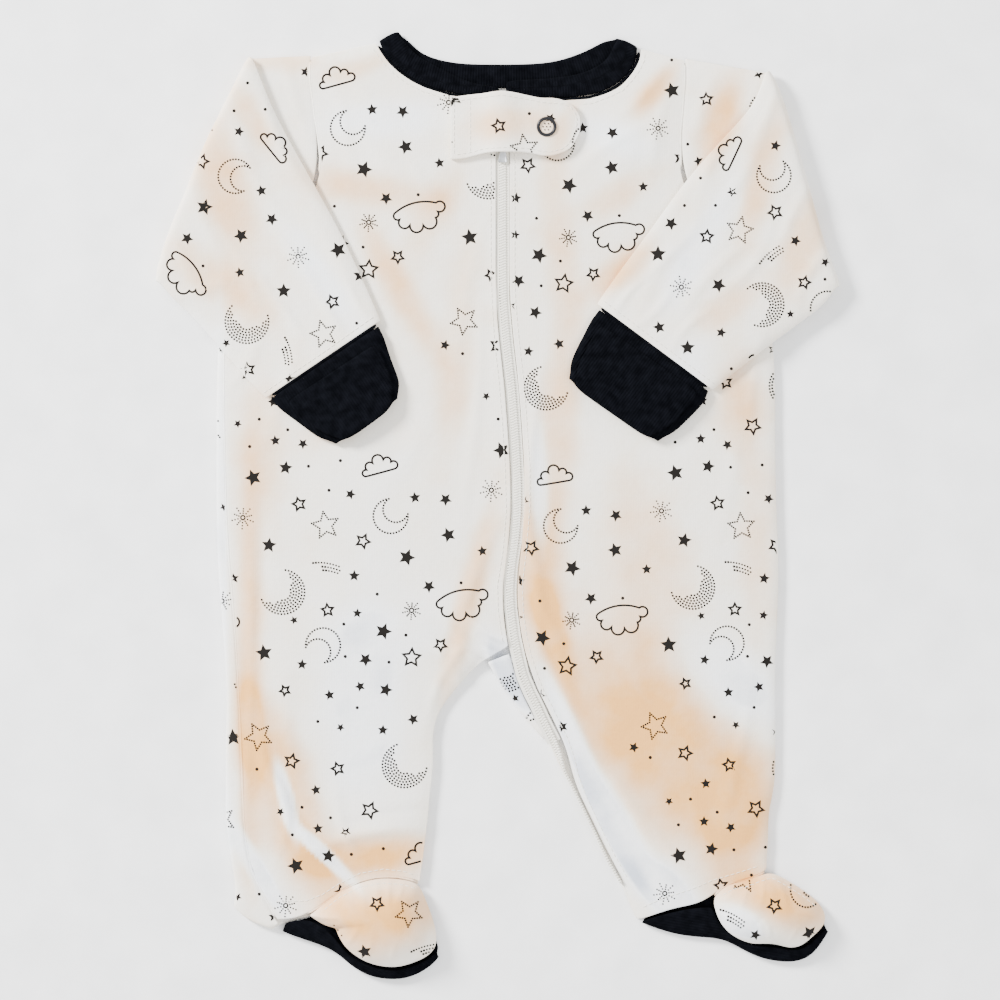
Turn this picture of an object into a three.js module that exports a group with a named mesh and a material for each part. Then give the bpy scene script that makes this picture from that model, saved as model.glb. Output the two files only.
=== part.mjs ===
// A footed baby sleepsuit, laid flat on its back, in millimetres.
// +X points to the wearer's left, +Y to the neck and +Z up. The floor is at z = 0.
// Right and left are the wearer's. Each piece of cloth is a thin wall round a middle surface.
import * as THREE from "three";

// Thickness of each kind of cloth, and the gaps between pieces.
const CLOTH_WALL = 1.2;
const RIB_WALL = 1.8;
const CUFF_WALL = 1.6;
const TOE_WALL = 1.5;
const TAB_WALL = 2;
const SEAM_GAP = 0.3;
const SEAM_CLEARANCE = 0.7;

// Heights of the front's middle surface: at its turned edge, just inside it, and out in the panel.
const TURNED_EDGE_HEIGHT = 2.1;
const PANEL_EDGE_HEIGHT = 3.2;
const EDGE_ROUNDING = 1.4;
const PANEL_SWELL = 2.2;
const SWELL_REACH = 28;
const FOLD_FADE = 7;
const LOWEST_FRONT = 2.1;

// Turned edge of the back panel: how far in the flat floor starts, and the two points of its round.
const LIP_FLAT = 1.9;
const LIP_SHOULDER = 0.95;
const LIP_NOSE = 0.6;
const LIP_FLOOR_RISE = 0.95;
const LIP_MIDDLE = 1.75;
const LIP_TOP_RISE = 2.5;

// Sleeves: half the distance between the two layers, and the round that each sleeve is folded over.
const SLEEVE_HALF_DEPTH = 1.3;
const SLEEVE_FOLD_RADIUS = 2.3;
const SLEEVE_RING_POINTS = 18;
const CUFF_HALF_DEPTH = 1.2;
const RING_SQUARENESS = 0.3;
const SLEEVE_SAG = 1.2;
const SAG_REACH = 12;
const LAYER_REST = 0.45;

// Zip: coil and tape sizes, and the slider and pull under the guard tab.
const COIL_HALF_WIDTH = 1.9;
const COIL_THICKNESS = 1.6;
const COIL_DROP = 0.2;
const COIL_EDGE_HEIGHT = 3.5;
const TAPE_THICKNESS = 1;
const TAPE_WIDTH = 5.8;
const TAPE_DROP = 1.55;
const TAPE_END_Y = -52;
const SLIDER_SIZE = { width: 6.5, length: 9, height: 1.8, y: 182 };
const PULL_SIZE = { width: 4.6, length: 13, height: 0.9, y: 170 };
const COIL_CENTRE_X = 2.5;

// Ring snap.
const SNAP_CENTRE = { x: 23.5, y: 180.5 };
const SNAP_RING = { outer: 4.8, inner: 3.1, height: 1.1 };
const SOCKET = { radius: 4, height: 0.8 };

const CLOTH = new THREE.MeshStandardMaterial({ color: 0xf1ece3, roughness: 0.9, metalness: 0 });
const BLACK_RIB = new THREE.MeshStandardMaterial({ color: 0x0b0c11, roughness: 0.95, metalness: 0 });
const ZIP_WHITE = new THREE.MeshStandardMaterial({ color: 0xf4f2ea, roughness: 0.6, metalness: 0 });
const BLACK_ENAMEL = new THREE.MeshStandardMaterial({ color: 0x111114, roughness: 0.35, metalness: 0.2 });
const STEEL = new THREE.MeshStandardMaterial({ color: 0xb9bbbd, roughness: 0.35, metalness: 1 });

function table(columns, rows) {
  return rows.map((row) => Object.fromEntries(columns.map((column, i) => [column, row[i]])));
}

// Right front, from the shoulder seam to the foot: the armhole or side seam, then the neck, zip or inner leg.
const FRONT_RIGHT = table(["sideX", "sideY", "innerX", "innerY", "bow"], [
  [-89, 214, -58.3, 220.8, 0],
  [-89.5, 210, -56, 216.5, 0],
  [-89.5, 204.5, -52.8, 212, 0],
  [-89, 198.5, -48.3, 207.5, 0],
  [-88, 193, -42, 203, 0],
  [-87.5, 187, -35, 199.5, 0],
  [-86.5, 181.5, -23, 195.5, 0],
  [-85.5, 174.5, -0.8, 193.3, 0],
  [-84.5, 166, -0.8, 180.5, 0],
  [-85, 157.5, -0.8, 165, 0],
  [-89, 146, -0.8, 150, 0],
  [-96, 133.5, -0.8, 134.5, 0],
  [-106, 122, -0.8, 121, 0],
  [-117, 110.5, -0.8, 107.5, 0],
  [-128, 98.5, -0.3, 95, 0],
  [-128.5, 92, -0.2, 89.5, 0],
  [-130.5, 76.5, 1, 76.5, 0],
  [-130.5, 59.5, 3, 59.5, 0],
  [-130.5, 40.5, 4.5, 40.5, 0],
  [-130, 18.5, 6, 18.5, 0],
  [-129.5, -3, 6.5, -3, 0],
  [-128.5, -22, 5, -22, 0],
  [-127, -39, 2.3, -39, 0],
  [-126, -52, 2.7, -52, 0],
  [-125.3, -61, 4, -62, 0],
  [-124.8, -68, 5, -68, 0],
  [-124.5, -72.5, -0.5, -71.5, 0],
  [-124.3, -77, -7.5, -75, 0],
  [-124, -83, -14, -81, 0],
  [-123.5, -92, -21.5, -90, 0],
  [-123, -101, -29.4, -100, 0],
  [-122.5, -112, -31.5, -112, 0],
  [-122, -125, -30.7, -125, 0],
  [-121.5, -138, -32.5, -138, 0],
  [-121, -151.5, -33.5, -150.5, 0],
  [-120, -163.5, -35, -162, 0.05],
  [-117.5, -175.5, -36, -172, 0.2],
  [-112, -186.5, -37, -177, 0.6],
  [-108.5, -193, -37.1, -179, 0.8],
  [-105.5, -199, -37.3, -180.8, 1],
]);

// Left front: the neck, zip line or inner edge, then the armhole or the turned side edge.
const FRONT_LEFT = table(["innerX", "innerY", "sideX", "sideY", "bow"], [
  [68.8, 218, 89.5, 212.5, 0],
  [68.4, 213, 89.5, 207.5, 0],
  [66.2, 208.5, 89.5, 201.5, 0],
  [62.8, 204, 89, 196, 0],
  [59, 200, 88.5, 189.5, 0],
  [54, 197.3, 88, 183.5, 0],
  [44.5, 193.7, 87.5, 177.5, 0],
  [25.5, 193.2, 87.5, 172, 0],
  [5.8, 192.8, 87.5, 166, 0],
  [5.8, 180.5, 87.5, 160, 0],
  [5.8, 165, 89.5, 152, 0],
  [5.8, 150, 96, 141, 0],
  [5.8, 134.5, 105, 128.5, 0],
  [5.8, 121, 114, 116, 0],
  [5.8, 107.5, 122, 106.5, 0],
  [6.3, 95, 128.5, 97.5, 0],
  [8, 76.5, 132, 76.5, 0],
  [10, 59.5, 133, 59.5, 0],
  [11.5, 40.5, 133, 40.5, 0],
  [13, 18.5, 133, 18.5, 0],
  [13, -3, 133.5, -3, 0],
  [11.5, -22, 134.5, -22, 0],
  [9.5, -39, 134.5, -39, 0],
  [10, -52, 134, -52, 0],
  [11.7, -64, 133.5, -64, 0],
  [13.7, -72.5, 133, -71, 0],
  [16.7, -82, 133, -78.5, 0],
  [19.7, -89.5, 133, -86.5, 0],
  [23.2, -96, 133, -94, 0],
  [26.8, -103.5, 133, -102, 0],
  [31.3, -112.5, 133, -111.5, 0],
  [34.4, -121.5, 133, -121, 0],
  [36.2, -130, 133, -129.5, 0],
  [39.8, -139.5, 132, -138, 0],
  [43.8, -148, 130, -146, 0],
  [48.2, -157.5, 129.5, -154.5, 0],
  [53.5, -168, 129.5, -162, 0.1],
  [60, -179.5, 129, -167, 0.3],
  [63.5, -190, 128.8, -171, 0.6],
  [67.3, -199, 128.8, -174.8, 1],
]);

// Where a row's points lie across a front panel, and how far the instep seam bows up at each of them.
const FRONT_COLUMNS = [0, 0.02, 0.06, 0.16, 0.32, 0.5, 0.68, 0.84, 0.94, 0.98, 1];
const INSTEP_BOW_RIGHT = [0, -0.3, -1, -1.9, 1.3, 7.9, 8.3, 5.7, 2.4, 0.9, 0];
const INSTEP_BOW_LEFT = [0, -0.1, -0.7, -0.8, -1.6, -4.3, 0.3, -1.2, -1.3, -0.9, 0];

// Back, right half: the outline, the seam where its turned edge ends, and the middle or inner leg.
const BACK_RIGHT = table(["outX", "outY", "seamX", "seamY", "midX", "midY", "scoop"], [
  [-89, 214, null, null, 0, 213, 1],
  [-89.5, 204.5, null, null, 0, 203.5, 0.72],
  [-88, 193, null, null, 0, 191, 0.42],
  [-86.5, 181.5, null, null, 0, 179.5, 0.18],
  [-84.5, 166, null, null, 0, 166, 0.05],
  [-85.2, 157.3, null, null, 0, 158.5, 0],
  [-89, 146, null, null, 0, 149, 0],
  [-96, 133.5, null, null, 0, 137, 0],
  [-106, 122, null, null, 0, 125, 0],
  [-117, 110.5, null, null, -0.5, 113, 0],
  [-128, 98.5, null, null, -1, 98, 0],
  [-132, 92, -128.5, 92, -1.5, 92, 0],
  [-134.5, 76.5, -130.5, 76.5, -2, 76.5, 0],
  [-135, 40.5, -130.5, 40.5, -3, 40.5, 0],
  [-135, -3, -129.5, -3, -4, -3, 0],
  [-134.3, -30, -127.8, -30, -5, -30, 0],
  [-132.5, -52, -126, -52, -6, -52, 0],
  [-131.3, -68, -124.8, -68, -7, -68, 0],
  [-130.8, -75, -124.5, -75, -7, -73.5, 0],
  [-130.7, -77.5, -124.3, -77.5, -9, -76, 0],
  [-130.4, -83, -124, -83, -14.5, -81.5, 0],
  [-130, -92, -123.5, -92, -22, -90.5, 0],
  [-130, -101, -123, -101, -29.9, -100.5, 0],
  [-130.5, -112, -122.5, -112, -32, -112, 0],
  [-130.5, -125, -122, -125, -31.2, -125, 0],
  [-130.5, -138, -121.5, -138, -33, -138, 0],
  [-130.5, -151.5, -121, -151.5, -34, -150.5, 0],
  [-129, -163.5, -120, -163.5, -35.5, -162, 0],
  [-127.2, -174.5, -117.5, -175.5, -36.8, -172, 0],
  [-125.4, -184.5, -112, -186.5, -37.6, -177.5, 0],
  [-126.8, -193, -108.5, -193, -37.9, -179.5, 0],
  [-119.5, -200, -105.8, -199.3, -38.1, -181.3, 0],
  [-108, -204, -104.6, -200.2, -38.2, -182.3, 0],
]);

// Back, left half, row for row with the right half: the middle or inner leg, the end of the strip
// that turns round the inner leg beside the zip, and the outer edge.
const BACK_LEFT = table(["midX", "midY", "stripX", "stripY", "outX", "outY"], [
  [0, 213, null, null, 89, 212.5],
  [0, 203.5, null, null, 89, 201.5],
  [0, 191, null, null, 88, 189.5],
  [0, 179.5, null, null, 87.2, 177.5],
  [0, 166, null, null, 87.2, 166],
  [0, 158.5, null, null, 87.3, 160],
  [0, 149, null, null, 89.5, 152],
  [0, 137, null, null, 96, 141],
  [0, 125, null, null, 105, 128.5],
  [-0.5, 113, null, null, 114, 116],
  [-1, 98, null, null, 128, 97.5],
  [-1.5, 92, null, null, 129.5, 92],
  [-2, 76.5, null, null, 131.5, 76.5],
  [-3, 40.5, null, null, 132.5, 40.5],
  [-4, -3, null, null, 133, -3],
  [-5, -30, null, null, 134, -30],
  [-6, -52, null, null, 133.5, -52],
  [-7, -68, null, null, 133, -68],
  [-7, -73.5, null, null, 132.7, -73],
  [-5, -76, 6.2, -71.5, 132.5, -76],
  [-1.5, -81.5, 9, -81.5, 132.5, -81],
  [4, -90.5, 12.2, -90.5, 132.5, -89.5],
  [11, -100.5, 17.2, -100.5, 132.5, -99],
  [21.8, -112.5, 24.4, -112.5, 132.5, -111],
  [29.3, -125, null, null, 132.5, -125],
  [36.6, -138, null, null, 132, -137],
  [43.6, -152.5, null, null, 129.3, -149],
  [49.2, -164, null, null, 129, -159],
  [54.2, -174, null, null, 128.7, -164.5],
  [59.4, -182.5, null, null, 128.3, -168],
  [62.4, -189.5, null, null, 128, -171],
  [65.6, -197, null, null, 127.9, -173.5],
  [66.3, -198.6, null, null, 128.1, -174.6],
]);

const BACK_RIGHT_COLUMNS = [0, 0.2, 0.36, 0.43, 0.58, 0.8, 1];
const BACK_LEFT_COLUMNS = [0, 0.2, 0.4, 0.54, 0.67, 0.75, 1];
const NECK_SCOOP_RIGHT = [0, -4, -6.5, 1, 10, 14.5, 15];
const NECK_SCOOP_LEFT = [15, 15, 13, 8.5, 2.5, -4, 0];

// Soft ridges (and troughs, with a negative rise) in the front: middle, direction, reach and rise.
const FRONT_FOLDS = table(["x", "y", "turn", "length", "width", "rise"], [
  [-95, -159, -57, 30, 6, 3],
  [-79, -150, -57, 26, 7, -1.2],
  [-54, -153, 3, 24, 5, 2.2],
  [-66, -166, -20, 18, 4, 1.6],
  [-10, -58, -40, 14, 4, 2.6],
  [-22, -70, -28, 16, 4, 1.8],
  [-112, -60, -75, 40, 7, 1.4],
  [45, -128, -54, 46, 10, 2.4],
  [86, -178, -38, 22, 6, 2.2],
  [118, -150, 55, 18, 6, 1.8],
  [92, 20, -80, 60, 14, 1],
  [-60, 20, 84, 70, 16, 1],
  [-45, 172, -35, 26, 8, 1.2],
  [60, 165, 40, 24, 8, 1.2],
  [3, 60, 90, 120, 9, 0.8],
]);

// Sleeves, from the fold line down the arm: the overarm edge and the underarm edge.
const SLEEVE_RIGHT = {
  armhole: [
    [-89, 214.6], [-89.5, 204.5], [-88, 193], [-86.5, 181.5], [-84.5, 166], [-85, 157.5],
    [-89, 146], [-96, 133.5], [-106, 122], [-117, 110.5], [-128, 98.5],
  ],
  fold: [[-117, 213.1], [-124, 197], [-136.2, 174], [-144.9, 151], [-155.4, 127.5], [-161.4, 106.2]],
  outward: [-0.925, 0.38],
  arm: table(["overX", "overY", "underX", "underY"], [
    [-109, 189.5, -154.5, 98],
    [-92, 159.5, -145, 89.5],
    [-75.5, 130.5, -132, 74],
    [-60, 96.5, -116.5, 56.5],
    [-56.5, 87.5, -110.5, 51],
  ]),
  cuff: table(["overX", "overY", "underX", "underY"], [
    [-56, 86.3, -110, 50],
    [-53, 74.5, -101.5, 43.5],
    [-49, 63.5, -91.5, 36.5],
    [-45.5, 55.5, -84, 30],
    [-45, 49.5, -78, 25.5],
  ]),
};
const SLEEVE_LEFT = {
  armhole: [
    [89.5, 213.3], [89.5, 201.5], [88.5, 189.5], [87.5, 177.5], [87.5, 160], [89.5, 152],
    [96, 141], [105, 128.5], [114, 116], [122, 106.5], [128.5, 97.5],
  ],
  fold: [[128.2, 206.4], [133.8, 192.6], [140.8, 168.7], [147.2, 145.7], [153.2, 122.7], [161.6, 103.9]],
  outward: [0.952, 0.305],
  arm: table(["overX", "overY", "underX", "underY"], [
    [124.3, 191, 155.5, 94.9],
    [108, 174.5, 145, 87.5],
    [89, 153, 130, 76.5],
    [75, 132.5, 116.5, 66],
    [58, 110, 108, 59],
    [48, 95.5, 102.5, 55],
  ]),
  cuff: table(["overX", "overY", "underX", "underY"], [
    [47.8, 94.3, 102.3, 53.8],
    [43.5, 85, 99, 48.5],
    [38.5, 75.5, 92.5, 42],
    [34, 66, 85, 34.5],
    [31, 59.5, 78, 26.5],
  ]),
};
const PROXIMAL_STEPS = [0, 0.4, 0.8];
const FOLD_STEPS = [0, 45, 90, 135, 180];
const FLAP_ROWS = [0.14, 0.4, 0.7, 1];
const FLAP_COLUMNS = [0.06, 0.2, 0.4, 0.6, 0.8, 0.94];

// Neck rib, from the zip round the right side, the back and the left side to the zip.
const NECK_RIB = table(["seamX", "seamY", "edgeX", "edgeY", "height"], [
  [1.6, 194.4, 1.1, 200, 3.5],
  [-12, 195.5, -9.5, 201, 3.5],
  [-23, 197, -18, 204, 3.5],
  [-35.5, 200.7, -27.5, 209, 3.5],
  [-45, 206.3, -35.5, 213, 3.5],
  [-51.5, 212.3, -40.5, 217, 3.5],
  [-54.8, 217, -44, 221, 3.4],
  [-56.3, 220.3, -46.6, 225.2, 3],
  [-56.8, 222, -47.2, 227.8, 2.2],
  [-55.6, 221, -45.6, 226.4, 1.4],
  [-53.3, 218.2, -43.8, 223.6, 1],
  [-45.5, 210, -39, 218, 0.9],
  [-36.5, 205, -33, 214.6, 0.9],
  [-25, 201, -23.6, 212, 0.9],
  [-12, 199.5, -12, 211, 0.9],
  [0, 199.2, 0, 211, 0.9],
  [13, 199.4, 13, 211, 0.9],
  [29, 201, 28.6, 212, 0.9],
  [47.5, 207, 42.6, 217.3, 0.9],
  [58.5, 213, 49, 221, 0.95],
  [63.8, 217.3, 54, 223, 1.05],
  [66.2, 219, 56.4, 224.4, 1.4],
  [67.1, 219, 57.2, 224.4, 2.2],
  [67, 216.8, 56.6, 222.4, 3],
  [66.6, 212.5, 55.2, 219, 3.4],
  [62, 205.2, 53, 213.5, 3.5],
  [54.3, 198.9, 47.5, 209.5, 3.5],
  [43.5, 195.2, 39.5, 206, 3.5],
  [25.5, 194.4, 25.5, 204, 3.5],
  [13, 194.1, 13, 203.5, 3.5],
  [3.8, 193.9, 3.8, 202.8, 3.5],
]);
const RIB_COLUMNS = [0, 0.35, 0.7, 1];

// Zip: its middle line, and how far it has turned on edge round the inner leg.
const ZIP_LINE = table(["x", "y", "turn"], [
  [2.5, 190.5, 0],
  [2.5, 168.5, 0],
  [2.5, 140, 0],
  [2.5, 98, 0],
  [4.5, 76.5, 0],
  [7, 55, 0],
  [8.5, 33.5, 0],
  [9.8, 12, 0],
  [9.8, -4, 0],
  [8.6, -18, 0],
  [6.6, -29.5, 0],
  [5.9, -41.5, 0],
  [6.3, -50, 0],
  [8, -64, 0],
  [12, -82, 0],
  [15.7, -90.5, 0],
  [18.8, -96.5, 5],
  [21.9, -103.5, 8],
  [26.4, -112.5, 20],
  [29.4, -119.5, 50],
  [31.8, -127.5, 85],
  [36.3, -136.3, 90],
  [41.6, -147, 90],
  [47.2, -158.5, 90],
  [52.4, -170, 90],
  [59.2, -181.5, 90],
]);

// Guard tab over the zip's top end, from its sewn end to its round end, with its lift off the front.
const TAB = table(["x", "topY", "bottomY", "lift"], [
  [-22.5, 194.8, 165, 0],
  [-18, 195.3, 165, 0],
  [-13, 196, 166, 0],
  [-6.5, 196.5, 168, 0.9],
  [-1.5, 197.5, 168.5, 2.8],
  [2.5, 197.6, 168.5, 3],
  [6.5, 197.2, 168.5, 2.8],
  [11, 196.3, 168.4, 1.8],
  [16, 195.2, 168, 1.3],
  [21.5, 194, 166.5, 1.4],
  [26, 194.5, 166.5, 1.4],
  [31, 193.5, 168, 1.3],
  [35, 192, 170, 1],
  [37.5, 189, 174, 0.6],
  [39.5, 185, 178.5, 0.3],
]);
const TAB_COLUMNS = [0, 0.15, 0.35, 0.6, 0.85, 1];
const TAB_OVER_RIB = { lift: 1, fromY: 190, overY: 195 };

// Feet: the sole's floor outline, the seam at its raised edge with that seam's height, and its hidden edge.
const SOLE_RIGHT = table(["outX", "outY", "seamX", "seamY", "rise", "hiddenX", "hiddenY"], [
  [-103.2, -205.1, -101.3, -200.2, 3.2, -99.3, -201],
  [-99.5, -206.8, -95.5, -198.9, 3.8, -91.5, -198.7],
  [-90, -209.9, -89.8, -198.5, 4.4, -82.5, -196],
  [-79, -213.7, -81.5, -203.5, 5.2, -70.5, -192.5],
  [-73.5, -218.2, -76.4, -209.5, 5.6, -59.5, -189.2],
  [-67.3, -223.2, -71.8, -216, 5.6, -50, -186.3],
  [-58.7, -227.7, -61.5, -221.8, 5, -41, -184],
  [-46, -228.5, -48, -223.5, 4.4, -35.7, -189],
  [-37.8, -225.6, -39.8, -220.6, 3.8, -32.3, -198],
  [-31.2, -221.3, -33.4, -217.6, 3.1, -29.6, -209],
  [-28.2, -217.5, -29.6, -214.5, 2.8, -28.4, -212.5],
]);
const SOLE_LEFT = table(["outX", "outY", "seamX", "seamY", "rise", "hiddenX", "hiddenY"], [
  [69, -200.9, 70.5, -199.2, 3.2, 72, -197],
  [77, -204.1, 79, -196.3, 4, 83, -192.7],
  [88.3, -207.3, 92.5, -193, 4.6, 96, -187.7],
  [99.5, -208, 102.7, -192.6, 5, 107, -183.4],
  [109.6, -208.8, 105.9, -201.3, 5.2, 117, -179.6],
  [119, -214.2, 115.3, -209.3, 5.2, 127, -176.4],
  [127.5, -218.3, 124.3, -211.6, 5.2, 135.5, -180.6],
  [136.5, -219.8, 133, -211.4, 5, 144, -185.4],
  [144.3, -219.7, 140.6, -213.6, 4.4, 150.5, -190.4],
  [151, -216.6, 147, -212.5, 3.8, 155, -197],
  [155.9, -210.2, 152.2, -207.8, 3.2, 156.5, -200.5],
  [158.6, -205.3, 157.2, -203.2, 2.9, 156.8, -201.8],
]);
const SOLE_COLUMNS = [0.3, 0.65, 1];

// Toe pieces: the edge of each, with its height, round a high middle.
const TOE_RIGHT = {
  middle: [-54, -200],
  top: 16,
  edge: table(["x", "y", "height"], [
    [-90, -197.1, 4.2],
    [-83.5, -201.3, 5.2],
    [-77.5, -202.6, 5.8],
    [-75.6, -208, 6.2],
    [-71, -214.4, 6.2],
    [-61, -220.6, 5.6],
    [-48.5, -222.3, 4.8],
    [-40, -219.5, 4],
    [-34, -217, 3.3],
    [-29.3, -212.5, 2.8],
    [-29.4, -205, 2.6],
    [-32, -196.5, 2.5],
    [-35.5, -187.5, 2.6],
    [-37.8, -182, 3.2],
    [-45, -180.1, 4],
    [-55, -179.2, 4.4],
    [-65.5, -181.2, 4.8],
    [-76.2, -186.4, 4.8],
    [-83.8, -192.6, 4.5],
  ]),
};
const TOE_LEFT = {
  middle: [130, -195],
  top: 14.5,
  edge: table(["x", "y", "height"], [
    [103.6, -191.5, 4.4],
    [105, -196, 5],
    [107, -200.8, 5.4],
    [111, -205.4, 5.6],
    [116, -208.4, 5.6],
    [122, -210.6, 5.4],
    [128.5, -210.2, 5.4],
    [134, -210.6, 5.2],
    [140.4, -212.7, 4.7],
    [146, -211.5, 4.2],
    [151, -207, 3.6],
    [156.2, -202.4, 2.9],
    [157.6, -197.8, 2.6],
    [154.4, -191.5, 2.6],
    [146.8, -185.6, 2.6],
    [139.4, -180.8, 2.7],
    [131.5, -176.6, 3],
    [126.5, -178, 3.4],
    [118.5, -181.1, 4.3],
    [113, -181.8, 4.6],
    [107.4, -184.6, 4.6],
    [104.2, -187.6, 4.5],
  ]),
};
const TOE_RINGS = [0, 0.32, 0.58, 0.78, 0.91, 1];
const TOE_CROWN = 2.3;
const TOE_SHOULDER = 0.7;
const TOE_INSET = 0.4;

// Plain geometry.
function mix(a, b, share) {
  return a + (b - a) * share;
}

function smoothStep(value) {
  const share = Math.min(1, Math.max(0, value));
  return share * share * (3 - 2 * share);
}

function distanceToSegment(x, y, [ax, ay], [bx, by]) {
  const lengthSquared = (bx - ax) ** 2 + (by - ay) ** 2 || 1;
  const along = ((x - ax) * (bx - ax) + (y - ay) * (by - ay)) / lengthSquared;
  const share = Math.min(1, Math.max(0, along));
  return Math.hypot(x - mix(ax, bx, share), y - mix(ay, by, share));
}

function distanceToPath(x, y, path) {
  let least = Infinity;
  for (let i = 0; i + 1 < path.length; i++) {
    least = Math.min(least, distanceToSegment(x, y, path[i], path[i + 1]));
  }
  return least;
}

function isInside(x, y, polygon) {
  let inside = false;
  polygon.forEach(([ax, ay], i) => {
    const [bx, by] = polygon[(i + 1) % polygon.length];
    if (ay > y !== by > y && x < ax + ((y - ay) / (by - ay)) * (bx - ax)) inside = !inside;
  });
  return inside;
}

// Point at a share of a path's length.
function along(path, share) {
  const lengths = path.slice(1).map(([x, y], i) => Math.hypot(x - path[i][0], y - path[i][1]));
  let left = share * lengths.reduce((sum, length) => sum + length, 0);
  for (let i = 0; i < lengths.length; i++) {
    if (left <= lengths[i] || i === lengths.length - 1) {
      const step = Math.min(1, left / lengths[i]);
      return [mix(path[i][0], path[i + 1][0], step), mix(path[i][1], path[i + 1][1], step)];
    }
    left -= lengths[i];
  }
  return path[path.length - 1];
}

// Outlines of the body as it lies, taken from the panels' own rows.
const shoulderRight = [[FRONT_RIGHT[0].sideX, FRONT_RIGHT[0].sideY], [FRONT_RIGHT[0].innerX, FRONT_RIGHT[0].innerY]];
const shoulderLeft = [[FRONT_LEFT[0].innerX, FRONT_LEFT[0].innerY], [FRONT_LEFT[0].sideX, FRONT_LEFT[0].sideY]];
const crotchRow = 18;
const sideRow = 11;
const neckRows = 9;
const rightSide = BACK_RIGHT.slice(sideRow).map((row) => [row.outX, row.outY]);
const rightInner = BACK_RIGHT.slice(crotchRow).map((row) => [row.midX, row.midY]);
const leftInner = BACK_LEFT.slice(crotchRow).map((row) => [row.midX, row.midY]);
const leftSide = FRONT_LEFT.slice(15).map((row) => [row.sideX, row.sideY]);
const neckRight = FRONT_RIGHT.slice(0, neckRows - 1).map((row) => [row.innerX, row.innerY]);
const neckLeft = FRONT_LEFT.slice(0, neckRows).map((row) => [row.innerX, row.innerY]);
const TURNED_EDGES = [shoulderRight, shoulderLeft, rightSide, rightInner, leftInner, leftSide];
const SEAMED_EDGES = [neckRight, neckLeft, SLEEVE_RIGHT.armhole, SLEEVE_LEFT.armhole];
const BODY_OUTLINE = [
  ...SLEEVE_RIGHT.armhole,
  ...rightSide,
  ...rightInner.slice().reverse(),
  ...leftInner,
  ...leftSide.slice().reverse(),
  ...SLEEVE_LEFT.armhole.slice().reverse(),
  ...neckLeft,
  ...neckRight.slice().reverse(),
];

function distanceToPaths(x, y, paths) {
  return Math.min(...paths.map((path) => distanceToPath(x, y, path)));
}

// Height of a soft ridge or trough at a point.
function foldRise(x, y, fold) {
  const turn = THREE.MathUtils.degToRad(fold.turn);
  const dx = x - fold.x;
  const dy = y - fold.y;
  const lengthways = dx * Math.cos(turn) + dy * Math.sin(turn);
  const across = dy * Math.cos(turn) - dx * Math.sin(turn);
  return fold.rise * Math.exp(-((lengthways / fold.length) ** 2) - (across / fold.width) ** 2);
}

// Height of the front's middle surface over the floor.
function frontHeight(x, y) {
  const fromTurned = distanceToPaths(x, y, TURNED_EDGES);
  const fromEdge = Math.min(fromTurned, distanceToPaths(x, y, SEAMED_EDGES));
  const turned = mix(TURNED_EDGE_HEIGHT, PANEL_EDGE_HEIGHT, 1 - Math.exp(-fromTurned / EDGE_ROUNDING));
  const swell = PANEL_SWELL * (1 - Math.exp(-fromEdge / SWELL_REACH));
  const folds = FRONT_FOLDS.reduce((sum, fold) => sum + foldRise(x, y, fold), 0);
  return Math.max(LOWEST_FRONT, turned + swell + folds * (1 - Math.exp(-fromEdge / FOLD_FADE)));
}

// Top of whatever an arm lies on: the body, the sleeve's own upper part, or a sag beside them.
function restingHeight(x, y, upperArm) {
  if (isInside(x, y, BODY_OUTLINE)) {
    return Math.max(PANEL_EDGE_HEIGHT, frontHeight(x, y)) + CLOTH_WALL / 2;
  }
  if (isInside(x, y, upperArm)) return PANEL_EDGE_HEIGHT + CLOTH_WALL / 2;
  const away = Math.min(distanceToPath(x, y, BODY_OUTLINE), distanceToPath(x, y, upperArm));
  return PANEL_EDGE_HEIGHT + CLOTH_WALL / 2 - SLEEVE_SAG * smoothStep(away / SAG_REACH);
}

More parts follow.
